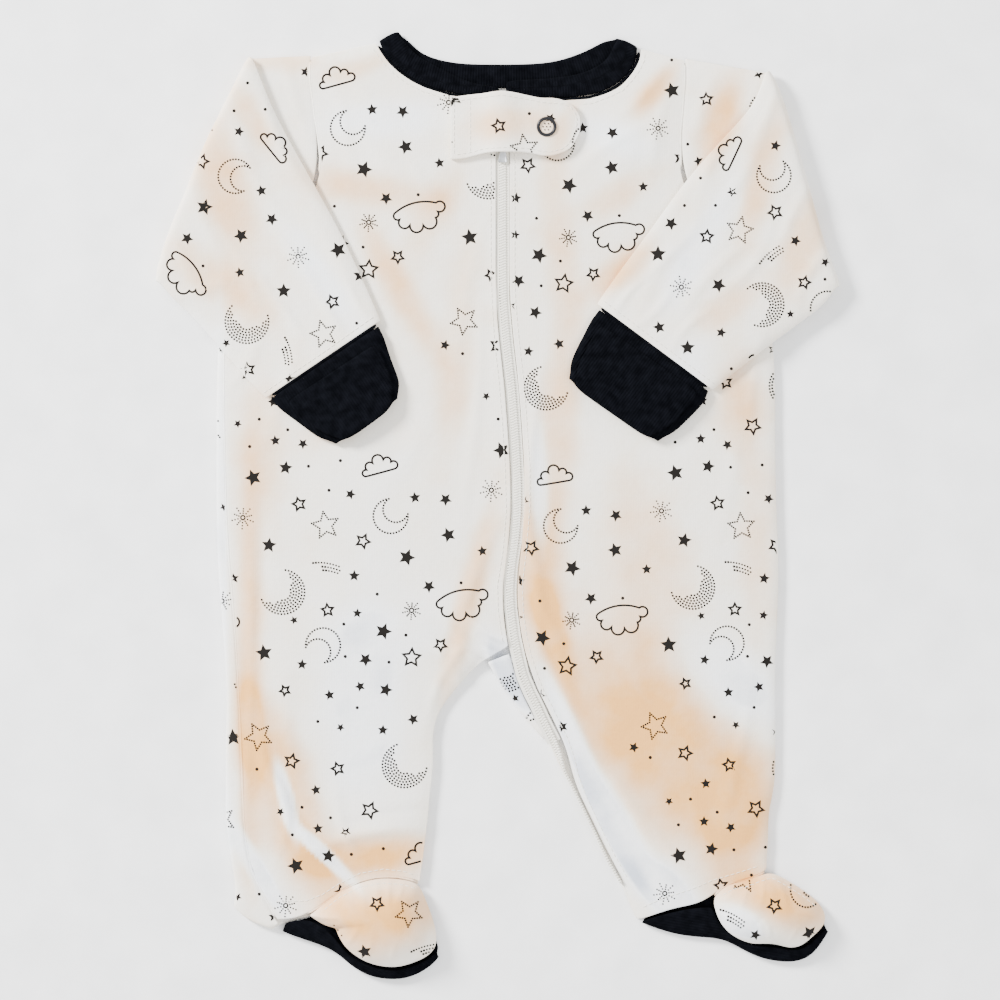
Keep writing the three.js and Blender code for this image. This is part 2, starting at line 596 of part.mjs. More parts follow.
// A middle surface under construction: points that faces share, and triangles.
class Surface {
  constructor() {
    this.points = [];
    this.triangles = [];
    this.known = new Map();
  }

  point(x, y, z) {
    const key = [x, y, z].map((value) => Math.round(value * 1e4)).join();
    if (!this.known.has(key)) {
      this.known.set(key, this.points.length);
      this.points.push(new THREE.Vector3(x, y, z));
    }
    return this.known.get(key);
  }

  triangle(a, b, c) {
    if (a !== b && b !== c && c !== a) this.triangles.push([a, b, c]);
  }

  // Two triangles, split along the shorter diagonal.
  quad(a, b, c, d) {
    const [pa, pb, pc, pd] = [a, b, c, d].map((i) => this.points[i]);
    if (pa.distanceTo(pc) <= pb.distanceTo(pd)) {
      this.triangle(a, b, c);
      this.triangle(a, c, d);
    } else {
      this.triangle(a, b, d);
      this.triangle(b, c, d);
    }
  }

  // Quads between neighbouring rows of point indices; a ring closes each row on itself.
  rows(rows, ring = false) {
    for (let i = 0; i + 1 < rows.length; i++) {
      const count = ring ? rows[i].length : rows[i].length - 1;
      for (let j = 0; j < count; j++) {
        const next = (j + 1) % rows[i].length;
        this.quad(rows[i][j], rows[i + 1][j], rows[i + 1][next], rows[i][next]);
      }
    }
  }

  normals() {
    const normals = this.points.map(() => new THREE.Vector3());
    const edge = new THREE.Vector3();
    const other = new THREE.Vector3();
    for (const [a, b, c] of this.triangles) {
      edge.subVectors(this.points[b], this.points[a]);
      other.subVectors(this.points[c], this.points[a]);
      edge.cross(other);
      for (const corner of [a, b, c]) normals[corner].add(edge);
    }
    return normals.map((normal) => normal.normalize());
  }

  // A closed wall of even thickness round the middle surface.
  wall(thickness) {
    const half = thickness / 2;
    const normals = this.normals();
    const positions = [];
    const corner = (i, side) => this.points[i].clone().addScaledVector(normals[i], side * half);
    const face = (...corners) => corners.forEach((point) => positions.push(point.x, point.y, point.z));
    const edges = new Set(this.triangles.flatMap(([a, b, c]) => [`${a},${b}`, `${b},${c}`, `${c},${a}`]));
    for (const [a, b, c] of this.triangles) {
      face(corner(a, 1), corner(b, 1), corner(c, 1));
      face(corner(c, -1), corner(b, -1), corner(a, -1));
      for (const [from, to] of [[a, b], [b, c], [c, a]]) {
        if (edges.has(`${to},${from}`)) continue;
        face(corner(to, 1), corner(from, 1), corner(from, -1));
        face(corner(to, 1), corner(from, -1), corner(to, -1));
      }
    }
    const geometry = new THREE.BufferGeometry();
    geometry.setAttribute("position", new THREE.Float32BufferAttribute(positions, 3));
    geometry.computeVertexNormals();
    return geometry;
  }
}

const garment = new THREE.Group();

function addPiece(name, geometry, material) {
  const mesh = new THREE.Mesh(geometry, material);
  mesh.name = name;
  garment.add(mesh);
  return mesh;
}

// Front panels: rows from the shoulder to the foot, each point lifted to the front's height.
function frontPanel(rows, firstEdge, lastEdge, bow) {
  const surface = new Surface();
  const grid = rows.map((row) =>
    FRONT_COLUMNS.map((share, column) => {
      const x = mix(row[`${firstEdge}X`], row[`${lastEdge}X`], share);
      const y = mix(row[`${firstEdge}Y`], row[`${lastEdge}Y`], share) + bow[column] * row.bow;
      return surface.point(x, y, frontHeight(x, y));
    }),
  );
  surface.rows(grid);
  return surface.wall(CLOTH_WALL);
}

// Turned edge of a lower piece, from its seam on top, out round the outline and in to its flat floor.
function turnedEdge(surface, out, seam, topAt) {
  const width = Math.hypot(seam[0] - out[0], seam[1] - out[1]);
  const inward = [(seam[0] - out[0]) / width, (seam[1] - out[1]) / width];
  const at = (distance, height) =>
    surface.point(out[0] + inward[0] * distance, out[1] + inward[1] * distance, height);
  const end = width - SEAM_CLEARANCE;
  const shoulder = Math.min(LIP_FLAT, end * 0.75);
  return [
    at(end, topAt(end, width)),
    at(shoulder, topAt(shoulder, width)),
    at(LIP_SHOULDER, LIP_TOP_RISE),
    at(LIP_NOSE, LIP_MIDDLE),
    at(LIP_SHOULDER, LIP_FLOOR_RISE),
    at(LIP_FLAT, CLOTH_WALL / 2),
  ];
}

// Back panel: flat on the floor, split into two legs, and turned up at the right side and inner left leg.
function backPanel() {
  const surface = new Surface();
  const floor = CLOTH_WALL / 2;
  const flat = (from, to, shares, scoops, scoop) =>
    shares.map((share, i) =>
      surface.point(mix(from[0], to[0], share), mix(from[1], to[1], share) - scoops[i] * scoop, floor),
    );
  const frontTop = (out, seam) => (distance, width) => {
    const share = distance / width;
    return frontHeight(mix(out[0], seam[0], share), mix(out[1], seam[1], share));
  };
  const flatStart = (out, seam) => {
    const width = Math.hypot(seam[0] - out[0], seam[1] - out[1]);
    return [mix(out[0], seam[0], LIP_FLAT / width), mix(out[1], seam[1], LIP_FLAT / width)];
  };
  const rightRows = [];
  const leftRows = [];
  const sideLips = [];
  const stripLips = [];
  BACK_RIGHT.forEach((row, i) => {
    const other = BACK_LEFT[i];
    let start = [row.outX, row.outY];
    if (row.seamX !== null) {
      const seam = [row.seamX, row.seamY];
      sideLips.push(turnedEdge(surface, start, seam, frontTop(start, seam)));
      start = flatStart(start, seam);
    }
    rightRows.push(flat(start, [row.midX, row.midY], BACK_RIGHT_COLUMNS, NECK_SCOOP_RIGHT, row.scoop));
    let inner = [other.midX, other.midY];
    if (other.stripX !== null) {
      const seam = [other.stripX, other.stripY];
      stripLips.push(turnedEdge(surface, inner, seam, frontTop(inner, seam)));
      inner = flatStart(inner, seam);
    }
    leftRows.push(flat(inner, [other.outX, other.outY], BACK_LEFT_COLUMNS, NECK_SCOOP_LEFT, row.scoop));
  });
  surface.rows(rightRows);
  surface.rows(leftRows);
  surface.rows(sideLips);
  surface.rows(stripLips);
  return surface.wall(CLOTH_WALL);
}

// Cross-section of a flattened tube: share of the way across, and side of the middle, from 1 to -1.
function ringShape(step, count) {
  const angle = (2 * Math.PI * step) / count;
  const side = Math.sin(angle);
  return { share: (1 - Math.cos(angle)) / 2, side: Math.sign(side) * Math.abs(side) ** RING_SQUARENESS };
}

// Flat lower arm or cuff: a ring of points in a row from the overarm to the underarm edge.
function armRing(surface, row, halfDepth, heightAt) {
  return Array.from({ length: SLEEVE_RING_POINTS }, (_, step) => {
    const { share, side } = ringShape(step, SLEEVE_RING_POINTS);
    const x = mix(row.overX, row.underX, share);
    const y = mix(row.overY, row.underY, share);
    return surface.point(x, y, heightAt(x, y) - halfDepth * side);
  });
}

// Sleeve: out from the armhole on the floor, round the fold, and down over the body.
function sleeve(shape) {
  const surface = new Surface();
  const rings = [];
  const lowMiddle = CLOTH_WALL / 2 + SLEEVE_HALF_DEPTH;
  const highMiddle = lowMiddle + 2 * SLEEVE_FOLD_RADIUS;
  const upperArm = [...shape.armhole, ...shape.fold.slice().reverse()];
  const ring = (pointAt) =>
    Array.from({ length: SLEEVE_RING_POINTS }, (_, step) => {
      const { share, side } = ringShape(step, SLEEVE_RING_POINTS);
      return surface.point(...pointAt(share, side * SLEEVE_HALF_DEPTH));
    });
  for (const step of PROXIMAL_STEPS) {
    rings.push(
      ring((share, offset) => {
        const [ax, ay] = along(shape.armhole, share);
        const [fx, fy] = along(shape.fold, share);
        const start = SEAM_CLEARANCE / Math.hypot(fx - ax, fy - ay);
        const way = mix(start, 1, step);
        return [mix(ax, fx, way), mix(ay, fy, way), lowMiddle + offset];
      }),
    );
  }
  for (const step of FOLD_STEPS) {
    const turn = THREE.MathUtils.degToRad(step);
    rings.push(
      ring((share, offset) => {
        const [fx, fy] = along(shape.fold, share);
        const out = SLEEVE_FOLD_RADIUS * Math.sin(turn) - offset * Math.sin(turn);
        const rise = SLEEVE_FOLD_RADIUS * (1 - Math.cos(turn)) + offset * Math.cos(turn);
        return [fx + shape.outward[0] * out, fy + shape.outward[1] * out, lowMiddle + rise];
      }),
    );
  }
  const lift = LAYER_REST + CLOTH_WALL / 2 + SLEEVE_HALF_DEPTH;
  shape.arm.forEach((row, i) => {
    const settled = smoothStep((i + 1) / 3);
    const heightAt = (x, y) => mix(highMiddle, restingHeight(x, y, upperArm) + lift, settled);
    rings.push(armRing(surface, row, SLEEVE_HALF_DEPTH, heightAt));
  });
  surface.rows(rings, true);
  return surface.wall(CLOTH_WALL);
}

function cuffMiddle(shape) {
  const upperArm = [...shape.armhole, ...shape.fold.slice().reverse()];
  const lift = LAYER_REST + CUFF_WALL / 2 + CUFF_HALF_DEPTH;
  return (x, y) => restingHeight(x, y, upperArm) + lift;
}

function cuff(shape) {
  const surface = new Surface();
  const middle = cuffMiddle(shape);
  surface.rows(shape.cuff.map((row) => armRing(surface, row, CUFF_HALF_DEPTH, middle)), true);
  return surface.wall(CUFF_WALL);
}

// Turn-over layer on top of a cuff, from just inside its seam to its open end.
function cuffFlap(shape) {
  const surface = new Surface();
  const middle = cuffMiddle(shape);
  const last = shape.cuff.length - 1;
  const lift = CUFF_HALF_DEPTH + CUFF_WALL / 2 + SEAM_GAP + CLOTH_WALL / 2;
  const grid = FLAP_ROWS.map((way) => {
    const place = way * last;
    const before = Math.min(last - 1, Math.floor(place));
    const share = place - before;
    const at = (column) => mix(shape.cuff[before][column], shape.cuff[before + 1][column], share);
    return FLAP_COLUMNS.map((across) => {
      const x = mix(at("overX"), at("underX"), across);
      const y = mix(at("overY"), at("underY"), across);
      return surface.point(x, y, middle(x, y) + lift);
    });
  });
  surface.rows(grid);
  return surface.wall(CLOTH_WALL);
}

function neckRib() {
  const surface = new Surface();
  const grid = NECK_RIB.map((row) =>
    RIB_COLUMNS.map((share) =>
      surface.point(mix(row.seamX, row.edgeX, share), mix(row.seamY, row.edgeY, share), row.height),
    ),
  );
  surface.rows(grid);
  return surface.wall(RIB_WALL);
}

// Directions along and across the zip's line at a row.
function zipFrame(i) {
  const before = ZIP_LINE[Math.max(0, i - 1)];
  const after = ZIP_LINE[Math.min(ZIP_LINE.length - 1, i + 1)];
  const length = Math.hypot(after.x - before.x, after.y - before.y);
  return { acrossX: -(after.y - before.y) / length, acrossY: (after.x - before.x) / length };
}

function zipCoil() {
  const surface = new Surface();
  const grid = ZIP_LINE.map((row, i) => {
    const { acrossX, acrossY } = zipFrame(i);
    const turn = THREE.MathUtils.degToRad(row.turn);
    const height = mix(frontHeight(row.x, row.y) - COIL_DROP, COIL_EDGE_HEIGHT, row.turn / 90);
    return [-1, 0, 1].map((side) => {
      const flat = side * COIL_HALF_WIDTH * Math.cos(turn);
      const up = side * COIL_HALF_WIDTH * Math.sin(turn);
      return surface.point(row.x + acrossX * flat, row.y + acrossY * flat, height + up);
    });
  });
  surface.rows(grid);
  return surface.wall(COIL_THICKNESS);
}

function zipTape(side) {
  const surface = new Surface();
  const near = COIL_HALF_WIDTH + SEAM_GAP;
  const grid = [];
  ZIP_LINE.forEach((row, i) => {
    if (row.y < TAPE_END_Y - 3) return;
    const { acrossX, acrossY } = zipFrame(i);
    grid.push(
      [near, near + TAPE_WIDTH / 2, near + TAPE_WIDTH].map((distance) => {
        const x = row.x + side * acrossX * distance;
        const y = row.y + side * acrossY * distance;
        return surface.point(x, y, frontHeight(x, y) - TAPE_DROP);
      }),
    );
  });
  surface.rows(grid);
  return surface.wall(TAPE_THICKNESS);
}

function boxOnFront(size, bottom) {
  const geometry = new THREE.BoxGeometry(size.width, size.length, size.height);
  geometry.translate(COIL_CENTRE_X, size.y, bottom + size.height / 2);
  return geometry;
}

function tabHeight(x, y, lift) {
  const overRib = TAB_OVER_RIB.lift * smoothStep((y - TAB_OVER_RIB.fromY) / (TAB_OVER_RIB.overY - TAB_OVER_RIB.fromY));
  return frontHeight(x, y) + CLOTH_WALL / 2 + SEAM_GAP + TAB_WALL / 2 + lift + overRib;
}

function neckTab() {
  const surface = new Surface();
  const grid = TAB.map((row) =>
    TAB_COLUMNS.map((share) => {
      const y = mix(row.topY, row.bottomY, share);
      return surface.point(row.x, y, tabHeight(row.x, y, row.lift));
    }),
  );
  surface.rows(grid);
  return surface.wall(TAB_WALL);
}

function ringGeometry(outer, inner, height) {
  const profile = [
    new THREE.Vector2(inner, 0),
    new THREE.Vector2(outer, 0),
    new THREE.Vector2(outer, height * 0.6),
    new THREE.Vector2(mix(inner, outer, 0.6), height),
    new THREE.Vector2(inner, height * 0.7),
    new THREE.Vector2(inner, 0),
  ];
  const geometry = new THREE.LatheGeometry(profile, 24);
  geometry.rotateX(Math.PI / 2);
  return geometry;
}

// Sole: flat on the floor, with its outer edge turned up to the seam that the photograph's view shows.
function sole(rows) {
  const surface = new Surface();
  const grid = rows.map((row) => {
    const out = [row.outX, row.outY];
    const seam = [row.seamX, row.seamY];
    const topAt = (distance, width) => mix(LIP_TOP_RISE, row.rise, Math.sqrt(distance / width));
    const lip = turnedEdge(surface, out, seam, topAt);
    const width = Math.hypot(seam[0] - out[0], seam[1] - out[1]);
    const start = [mix(out[0], seam[0], LIP_FLAT / width), mix(out[1], seam[1], LIP_FLAT / width)];
    const flat = SOLE_COLUMNS.map((share) =>
      surface.point(mix(start[0], row.hiddenX, share), mix(start[1], row.hiddenY, share), CLOTH_WALL / 2),
    );
    return [...lip, ...flat];
  });
  surface.rows(grid);
  return surface.wall(CLOTH_WALL);
}

// Toe piece: a domed cap, open underneath over the sole.
function toe(shape) {
  const surface = new Surface();
  const [cx, cy] = shape.middle;
  const grid = TOE_RINGS.map((reach) =>
    shape.edge.map((row) => {
      const distance = Math.hypot(row.x - cx, row.y - cy);
      const share = (reach * (distance - TOE_INSET)) / distance;
      const dome = (1 - reach ** TOE_CROWN) ** TOE_SHOULDER;
      const height = mix(row.height, shape.top, dome);
      return surface.point(mix(cx, row.x, share), mix(cy, row.y, share), height);
    }),
  );
  surface.rows(grid, true);
  return surface.wall(TOE_WALL);
}

addPiece("back_panel", backPanel(), CLOTH);
addPiece("front_right_panel", frontPanel(FRONT_RIGHT, "side", "inner", INSTEP_BOW_RIGHT), CLOTH);
addPiece("front_left_panel", frontPanel(FRONT_LEFT, "inner", "side", INSTEP_BOW_LEFT), CLOTH);
addPiece("sleeve_right", sleeve(SLEEVE_RIGHT), CLOTH);
addPiece("sleeve_left", sleeve(SLEEVE_LEFT), CLOTH);
addPiece("cuff_right", cuff(SLEEVE_RIGHT), BLACK_RIB);
addPiece("cuff_left", cuff(SLEEVE_LEFT), BLACK_RIB);
addPiece("cuff_flap_right", cuffFlap(SLEEVE_RIGHT), BLACK_RIB);
addPiece("cuff_flap_left", cuffFlap(SLEEVE_LEFT), BLACK_RIB);
addPiece("neck_rib", neckRib(), BLACK_RIB);
addPiece("zip_coil", zipCoil(), ZIP_WHITE);
addPiece("zip_tape_right", zipTape(-1), ZIP_WHITE);
addPiece("zip_tape_left", zipTape(1), ZIP_WHITE);
addPiece("neck_tab", neckTab(), CLOTH);
addPiece("sole_right", sole(SOLE_RIGHT), BLACK_RIB);
addPiece("sole_left", sole(SOLE_LEFT), BLACK_RIB);
addPiece("foot_right", toe(TOE_RIGHT), CLOTH);
addPiece("foot_left", toe(TOE_LEFT), CLOTH);

const coilTop = (y) => frontHeight(COIL_CENTRE_X, y) - COIL_DROP + COIL_THICKNESS / 2 + SEAM_GAP + 0.2;
addPiece("zip_slider", boxOnFront(SLIDER_SIZE, coilTop(SLIDER_SIZE.y)), STEEL);
addPiece("zip_pull", boxOnFront(PULL_SIZE, coilTop(PULL_SIZE.y)), STEEL);

const snapFront = frontHeight(SNAP_CENTRE.x, SNAP_CENTRE.y);
const socketGeometry = new THREE.CylinderGeometry(SOCKET.radius, SOCKET.radius, SOCKET.height, 16);
socketGeometry.rotateX(Math.PI / 2);
socketGeometry.translate(
  SNAP_CENTRE.x,
  SNAP_CENTRE.y,
  snapFront + CLOTH_WALL / 2 + SEAM_GAP + SOCKET.height / 2 + 0.1,
);
addPiece("snap_socket", socketGeometry, STEEL);
const snapGeometry = ringGeometry(SNAP_RING.outer, SNAP_RING.inner, SNAP_RING.height);
snapGeometry.translate(
  SNAP_CENTRE.x,
  SNAP_CENTRE.y,
  tabHeight(SNAP_CENTRE.x, SNAP_CENTRE.y, 1.4) + TAB_WALL / 2 + SEAM_GAP + 0.1,
);
addPiece("snap_ring", snapGeometry, BLACK_ENAMEL);

export default garment;
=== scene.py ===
"""Dresses a footed baby sleepsuit that lies flat on its back: jersey, print, rib, zip and stitching.

The tables of places are in millimetres, with +X to the wearer's left, +Y to the neck and +Z up.
"""

import math

import bmesh
import bpy
import numpy as np
from bpy.props import FloatProperty, FloatVectorProperty, IntProperty, PointerProperty
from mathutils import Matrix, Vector, noise
from mathutils.bvhtree import BVHTree


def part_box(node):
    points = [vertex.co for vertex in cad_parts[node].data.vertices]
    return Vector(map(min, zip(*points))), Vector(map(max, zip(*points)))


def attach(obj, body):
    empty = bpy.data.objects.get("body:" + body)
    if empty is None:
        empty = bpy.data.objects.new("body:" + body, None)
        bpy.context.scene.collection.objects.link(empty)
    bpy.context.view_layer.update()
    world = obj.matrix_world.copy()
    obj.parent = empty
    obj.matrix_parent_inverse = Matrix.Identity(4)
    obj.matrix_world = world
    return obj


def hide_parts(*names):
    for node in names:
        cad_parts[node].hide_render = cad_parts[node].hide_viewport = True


bl_info = {
    "name": "Footed Baby Sleepsuit",
    "version": (1, 0, 0),
    "blender": (4, 5, 0),
    "location": "3D View > Sidebar > Sleepsuit",
    "description": "Builds the cloth, print, zip and stitching of a baby sleepsuit laid flat",
    "category": "Object",
}

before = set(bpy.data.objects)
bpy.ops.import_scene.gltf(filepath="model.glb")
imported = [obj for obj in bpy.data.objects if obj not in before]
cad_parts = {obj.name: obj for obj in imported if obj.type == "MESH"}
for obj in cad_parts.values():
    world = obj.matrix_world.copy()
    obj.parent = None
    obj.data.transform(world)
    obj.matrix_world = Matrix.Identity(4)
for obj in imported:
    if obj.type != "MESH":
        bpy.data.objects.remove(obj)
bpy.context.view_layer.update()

MM = 0.001
BODY = "root"

# Options that every colour setting shares.
COLOUR_OPTIONS = {"subtype": "COLOR", "size": 3, "min": 0, "max": 1}

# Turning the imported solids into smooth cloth.
MERGE_DISTANCE = 0.00001
RIM_ANGLE = math.radians(50)
JOIN_ANGLE = math.radians(40)
RIM_CREASE = 0.55
SOFT_RIM = 0.15
LOWEST_LAYER = 1.2
LAYER_BLEND = 1.6

# Heights between which the ridges of each kind of piece fade in: from and over.
SLEEVE_FADE = (2.6, 1.6)
CUFF_FADE = (6, 2)
TOE_FADE = (3, 1.5)

# Gentle unevenness of the cloth: size of the waves, their height and their depth in the noise.
WIDE_WAVE = 24
WIDE_WAVE_HEIGHT = 0.28
FINE_WAVE = 8
FINE_WAVE_HEIGHT = 0.1
WIDE_WAVE_LAYER = 0.3
FINE_WAVE_LAYER = 7.7

# Jersey: finish, and the scale and depth of its mottle, grain, knit and nap.
JERSEY_ROUGHNESS = 0.92
JERSEY_SHEEN = 0.18
JERSEY_SHEEN_ROUGHNESS = 0.5
JERSEY_GLOSS = 0.2
MOTTLE_SCALE = 55
MOTTLE_SPREAD = 0.34
# Ramp stops of the painted cool light and of the plain jersey.
COOL_LIGHT_STOP = 0.2
PLAIN_STOP = 0.52
GRAIN_SCALE = 900
GRAIN_SHADES = (0.94, 1.04)
WALE_SCALE = 380
COURSE_SCALE = 520
KNIT_WANDER = 1.2
KNIT_WANDER_SCALE = 0.6
KNIT_STRENGTH = 0.35
KNIT_DEPTH = 0.00012
NAP_SCALE = 420
NAP_STRENGTH = 0.4
NAP_DEPTH = 0.00035

# Rib: finish, and the scale and depth of its nap and lint.
RIB_ROUGHNESS = 0.95
RIB_SHEEN = 0.004
RIB_SHEEN_ROUGHNESS = 0.6
RIB_NAP_SCALE = 700
RIB_WEIGHT = 0.5
RIB_STRENGTH = 0.6
RIB_DEPTH = 0.0003
LINT_SCALE = 260
LINT_STOPS = (0.35, 0.8)
LINT_SHADES = (0.75, 1.9)
RIB_TURNS = {"right": 33.5, "left": -36.5}
SOLE_TURNS = {"right": 60, "left": 80}

# Grained finishes: gloss, and where the grain turns from its dark to its light shade.
GRAIN_GLOSS = 0.2
GRAIN_STOPS = (0.3, 0.7)
GRAIN_STRENGTH = 0.5
STEEL = (0.62, 0.63, 0.64)
ENAMEL = (0.012, 0.012, 0.014)

# Creases of the body: middle, direction, half length, half width, rise and bend.
BODY_CREASES = (
    (-110, -128, -68, 20, 3.2, 1.0, 4),
    (-101, -143, -76, 17, 2.6, 1.5, -5),
    (-86, -165, -42, 17, 2.6, 1.4, 4),
    (-93, -152, -60, 26, 3.0, -0.9, 4),
    (-74, -154, -72, 16, 2.4, 0.9, 2),
    (-64, -158, 12, 22, 2.6, 0.9, -2),
    (-52, -148, 8, 20, 2.2, -0.5, -2),
    (-100, -112, -80, 24, 3.4, 0.5, 3),
    (-118, -85, 89, 60, 2.6, 0.6, 1),
    (-113, -40, 86, 40, 3.0, -0.4, 2),
    (-14, -44, 75, 34, 3.2, 0.9, -4),
    (-20, -62, 68, 24, 2.4, -0.5, -3),
    (-26, -82, 62, 18, 2.4, 0.7, -2),
    (-6, -61, -34, 12, 1.7, 1.5, 2),
    (-15, -68, -40, 13, 1.6, 1.2, 2),
    (-10, -66, -38, 11, 1.2, -0.9, 2),
    (-22, -78, -44, 12, 1.6, 0.8, 1),
    (-11, 36, 84, 46, 2.6, 0.5, 2),
    (-16, 96, 80, 36, 3.4, 0.4, -2),
    (16, 24, 86, 40, 2.4, 0.5, -2),
    (19, -34, 96, 36, 3.0, 0.8, 3),
    (27, -62, 110, 26, 2.6, 0.7, 2),
    (24, -96, 118, 16, 2.2, 0.6, 1),
    (40, -112, 118, 26, 2.8, 0.8, -2),
    (55, -134, 119, 26, 2.6, -0.5, 2),
    (66, -148, 121, 30, 2.6, 0.9, 2),
    (82, -166, 128, 22, 2.4, 0.8, -2),
    (98, -150, 112, 26, 3.4, 0.5, 3),
    (112, -132, 78, 28, 3.6, 0.6, -2),
    (120, -96, 84, 30, 3.0, 0.4, 2),
    (90, -96, 104, 34, 4.0, 0.35, 3),
    (62, -60, 98, 40, 4.6, 0.3, -3),
    (112, 12, 80, 44, 3.4, 0.4, 3),
    (122, 56, 84, 26, 2.6, 0.5, -2),
    (-104, 48, 70, 26, 3.4, 0.5, 2),
    (-118, 70, 62, 16, 2.4, 0.6, 2),
    (-40, 26, 60, 22, 4.0, 0.4, 3),
    (36, 48, 118, 22, 4.0, 0.4, -3),
    (-64, 60, 88, 30, 4.4, 0.3, -2),
    (-78, 120, 118, 26, 3.2, 0.5, 2),
    (80, 118, 60, 26, 3.2, 0.5, -2),
    (-72, 176, 100, 22, 3.2, 0.5, 2),
    (76, 178, 78, 22, 3.2, 0.5, -2),
    (-48, 160, -38, 22, 3.0, 0.5, 3),
    (50, 170, 36, 22, 2.8, 0.5, -3),
    (-34, 150, -56, 16, 2.6, 0.4, 2),
    (-62, 196, -40, 14, 2.4, 0.4, 1),
    (70, 196, 46, 14, 2.4, 0.4, 1),
)

# Ridges of the sleeves, which never sink towards what lies under them.
SLEEVE_CREASES = (
    (-96, 190, -72, 26, 2.6, 0.7, 2),
    (-104, 172, -66, 26, 2.8, 0.8, 3),
    (-112, 150, -58, 22, 2.6, 0.7, 2),
    (-124, 178, -62, 20, 3.0, 0.6, -2),
    (-140, 134, -66, 20, 2.4, 0.7, 2),
    (-148, 112, -58, 14, 2.4, 0.7, 2),
    (-136, 104, 24, 16, 2.2, 0.6, 2),
    (-122, 116, -60, 18, 2.4, 0.8, -3),
    (-108, 100, -54, 18, 2.4, 0.7, 2),
    (-92, 112, -58, 22, 2.4, 0.6, -2),
    (-96, 84, -50, 12, 2.0, 0.7, 2),
    (-80, 92, -56, 12, 2.0, 0.7, -2),
    (-68, 98, -62, 10, 1.8, 0.6, 1),
    (-126, 84, 30, 14, 2.0, 0.5, -1),
    (98, 190, 72, 24, 2.6, 0.7, -2),
    (106, 172, 62, 26, 2.8, 0.8, -3),
    (118, 158, 58, 22, 2.6, 0.7, 2),
    (128, 184, 66, 20, 2.8, 0.6, 2),
    (140, 136, 66, 20, 2.4, 0.7, -2),
    (149, 110, 60, 14, 2.4, 0.7, -2),
    (136, 102, -22, 16, 2.2, 0.6, -2),
    (122, 114, 52, 18, 2.4, 0.8, 3),
    (104, 112, 46, 20, 2.4, 0.7, -2),
    (88, 124, 48, 18, 2.4, 0.6, 2),
    (92, 86, 42, 12, 2.0, 0.7, -2),
    (76, 92, 46, 12, 2.0, 0.7, 2),
    (62, 100, 50, 10, 1.8, 0.6, -1),
    (122, 82, -34, 14, 2.0, 0.5, 1),
)

# Gathers where the toe pieces are eased into the instep seam and the sole.
TOE_CREASES = (
    (-46, -184, 78, 7, 1.5, 0.5, 1),
    (-52, -184, 86, 8, 1.4, 0.6, -1),
    (-58, -184, 96, 8, 1.5, 0.5, 1),
    (-65, -186, 108, 8, 1.6, 0.6, 1),
    (-72, -190, 124, 8, 1.5, 0.5, -1),
    (-78, -196, 146, 7, 1.4, 0.5, 1),
    (-70, -208, 52, 7, 1.5, 0.5, 1),
    (-62, -215, 66, 7, 1.4, 0.4, 1),
    (-50, -217, 90, 6, 1.4, 0.4, -1),
    (-38, -212, 128, 6, 1.4, 0.4, 1),
    (-36, -196, 172, 7, 1.5, 0.5, -1),
    (112, -186, 46, 7, 1.5, 0.5, 1),
    (119, -185, 66, 8, 1.4, 0.6, -1),
    (127, -183, 88, 8, 1.5, 0.6, 1),
    (136, -184, 112, 8, 1.5, 0.5, 1),
    (144, -189, 130, 7, 1.4, 0.5, -1),
    (151, -197, 150, 6, 1.4, 0.4, 1),
    (110, -198, 158, 6, 1.4, 0.4, -1),
    (118, -204, 128, 7, 1.5, 0.5, 1),
    (130, -206, 92, 6, 1.4, 0.4, 1),
    (141, -207, 66, 6, 1.4, 0.4, -1),
)

# Ridges of the cuffs and their turned layers.
CUFF_CREASES = (
    (-58, 70, -66, 13, 1.5, 0.7, 1),
    (-70, 62, 34, 16, 1.5, 0.5, 2),
    (-88, 48, 30, 14, 1.5, 0.6, -1),
    (-76, 44, 40, 14, 1.6, 0.5, 2),
    (-64, 50, -20, 10, 1.6, 0.5, 1),
    (-98, 46, -58, 10, 1.6, 0.5, 1),
    (-54, 80, 20, 9, 1.4, 0.5, 1),
    (42, 78, 66, 13, 1.5, 0.6, -1),
    (58, 76, -38, 16, 1.5, 0.6, 1),
    (78, 60, -36, 16, 1.5, 0.5, -2),
    (62, 54, -30, 14, 1.6, 0.6, 2),
    (84, 42, -44, 11, 1.5, 0.5, 1),
    (90, 52, 62, 9, 1.6, 0.5, 1),
    (48, 64, 30, 9, 1.6, 0.4, 1),
)
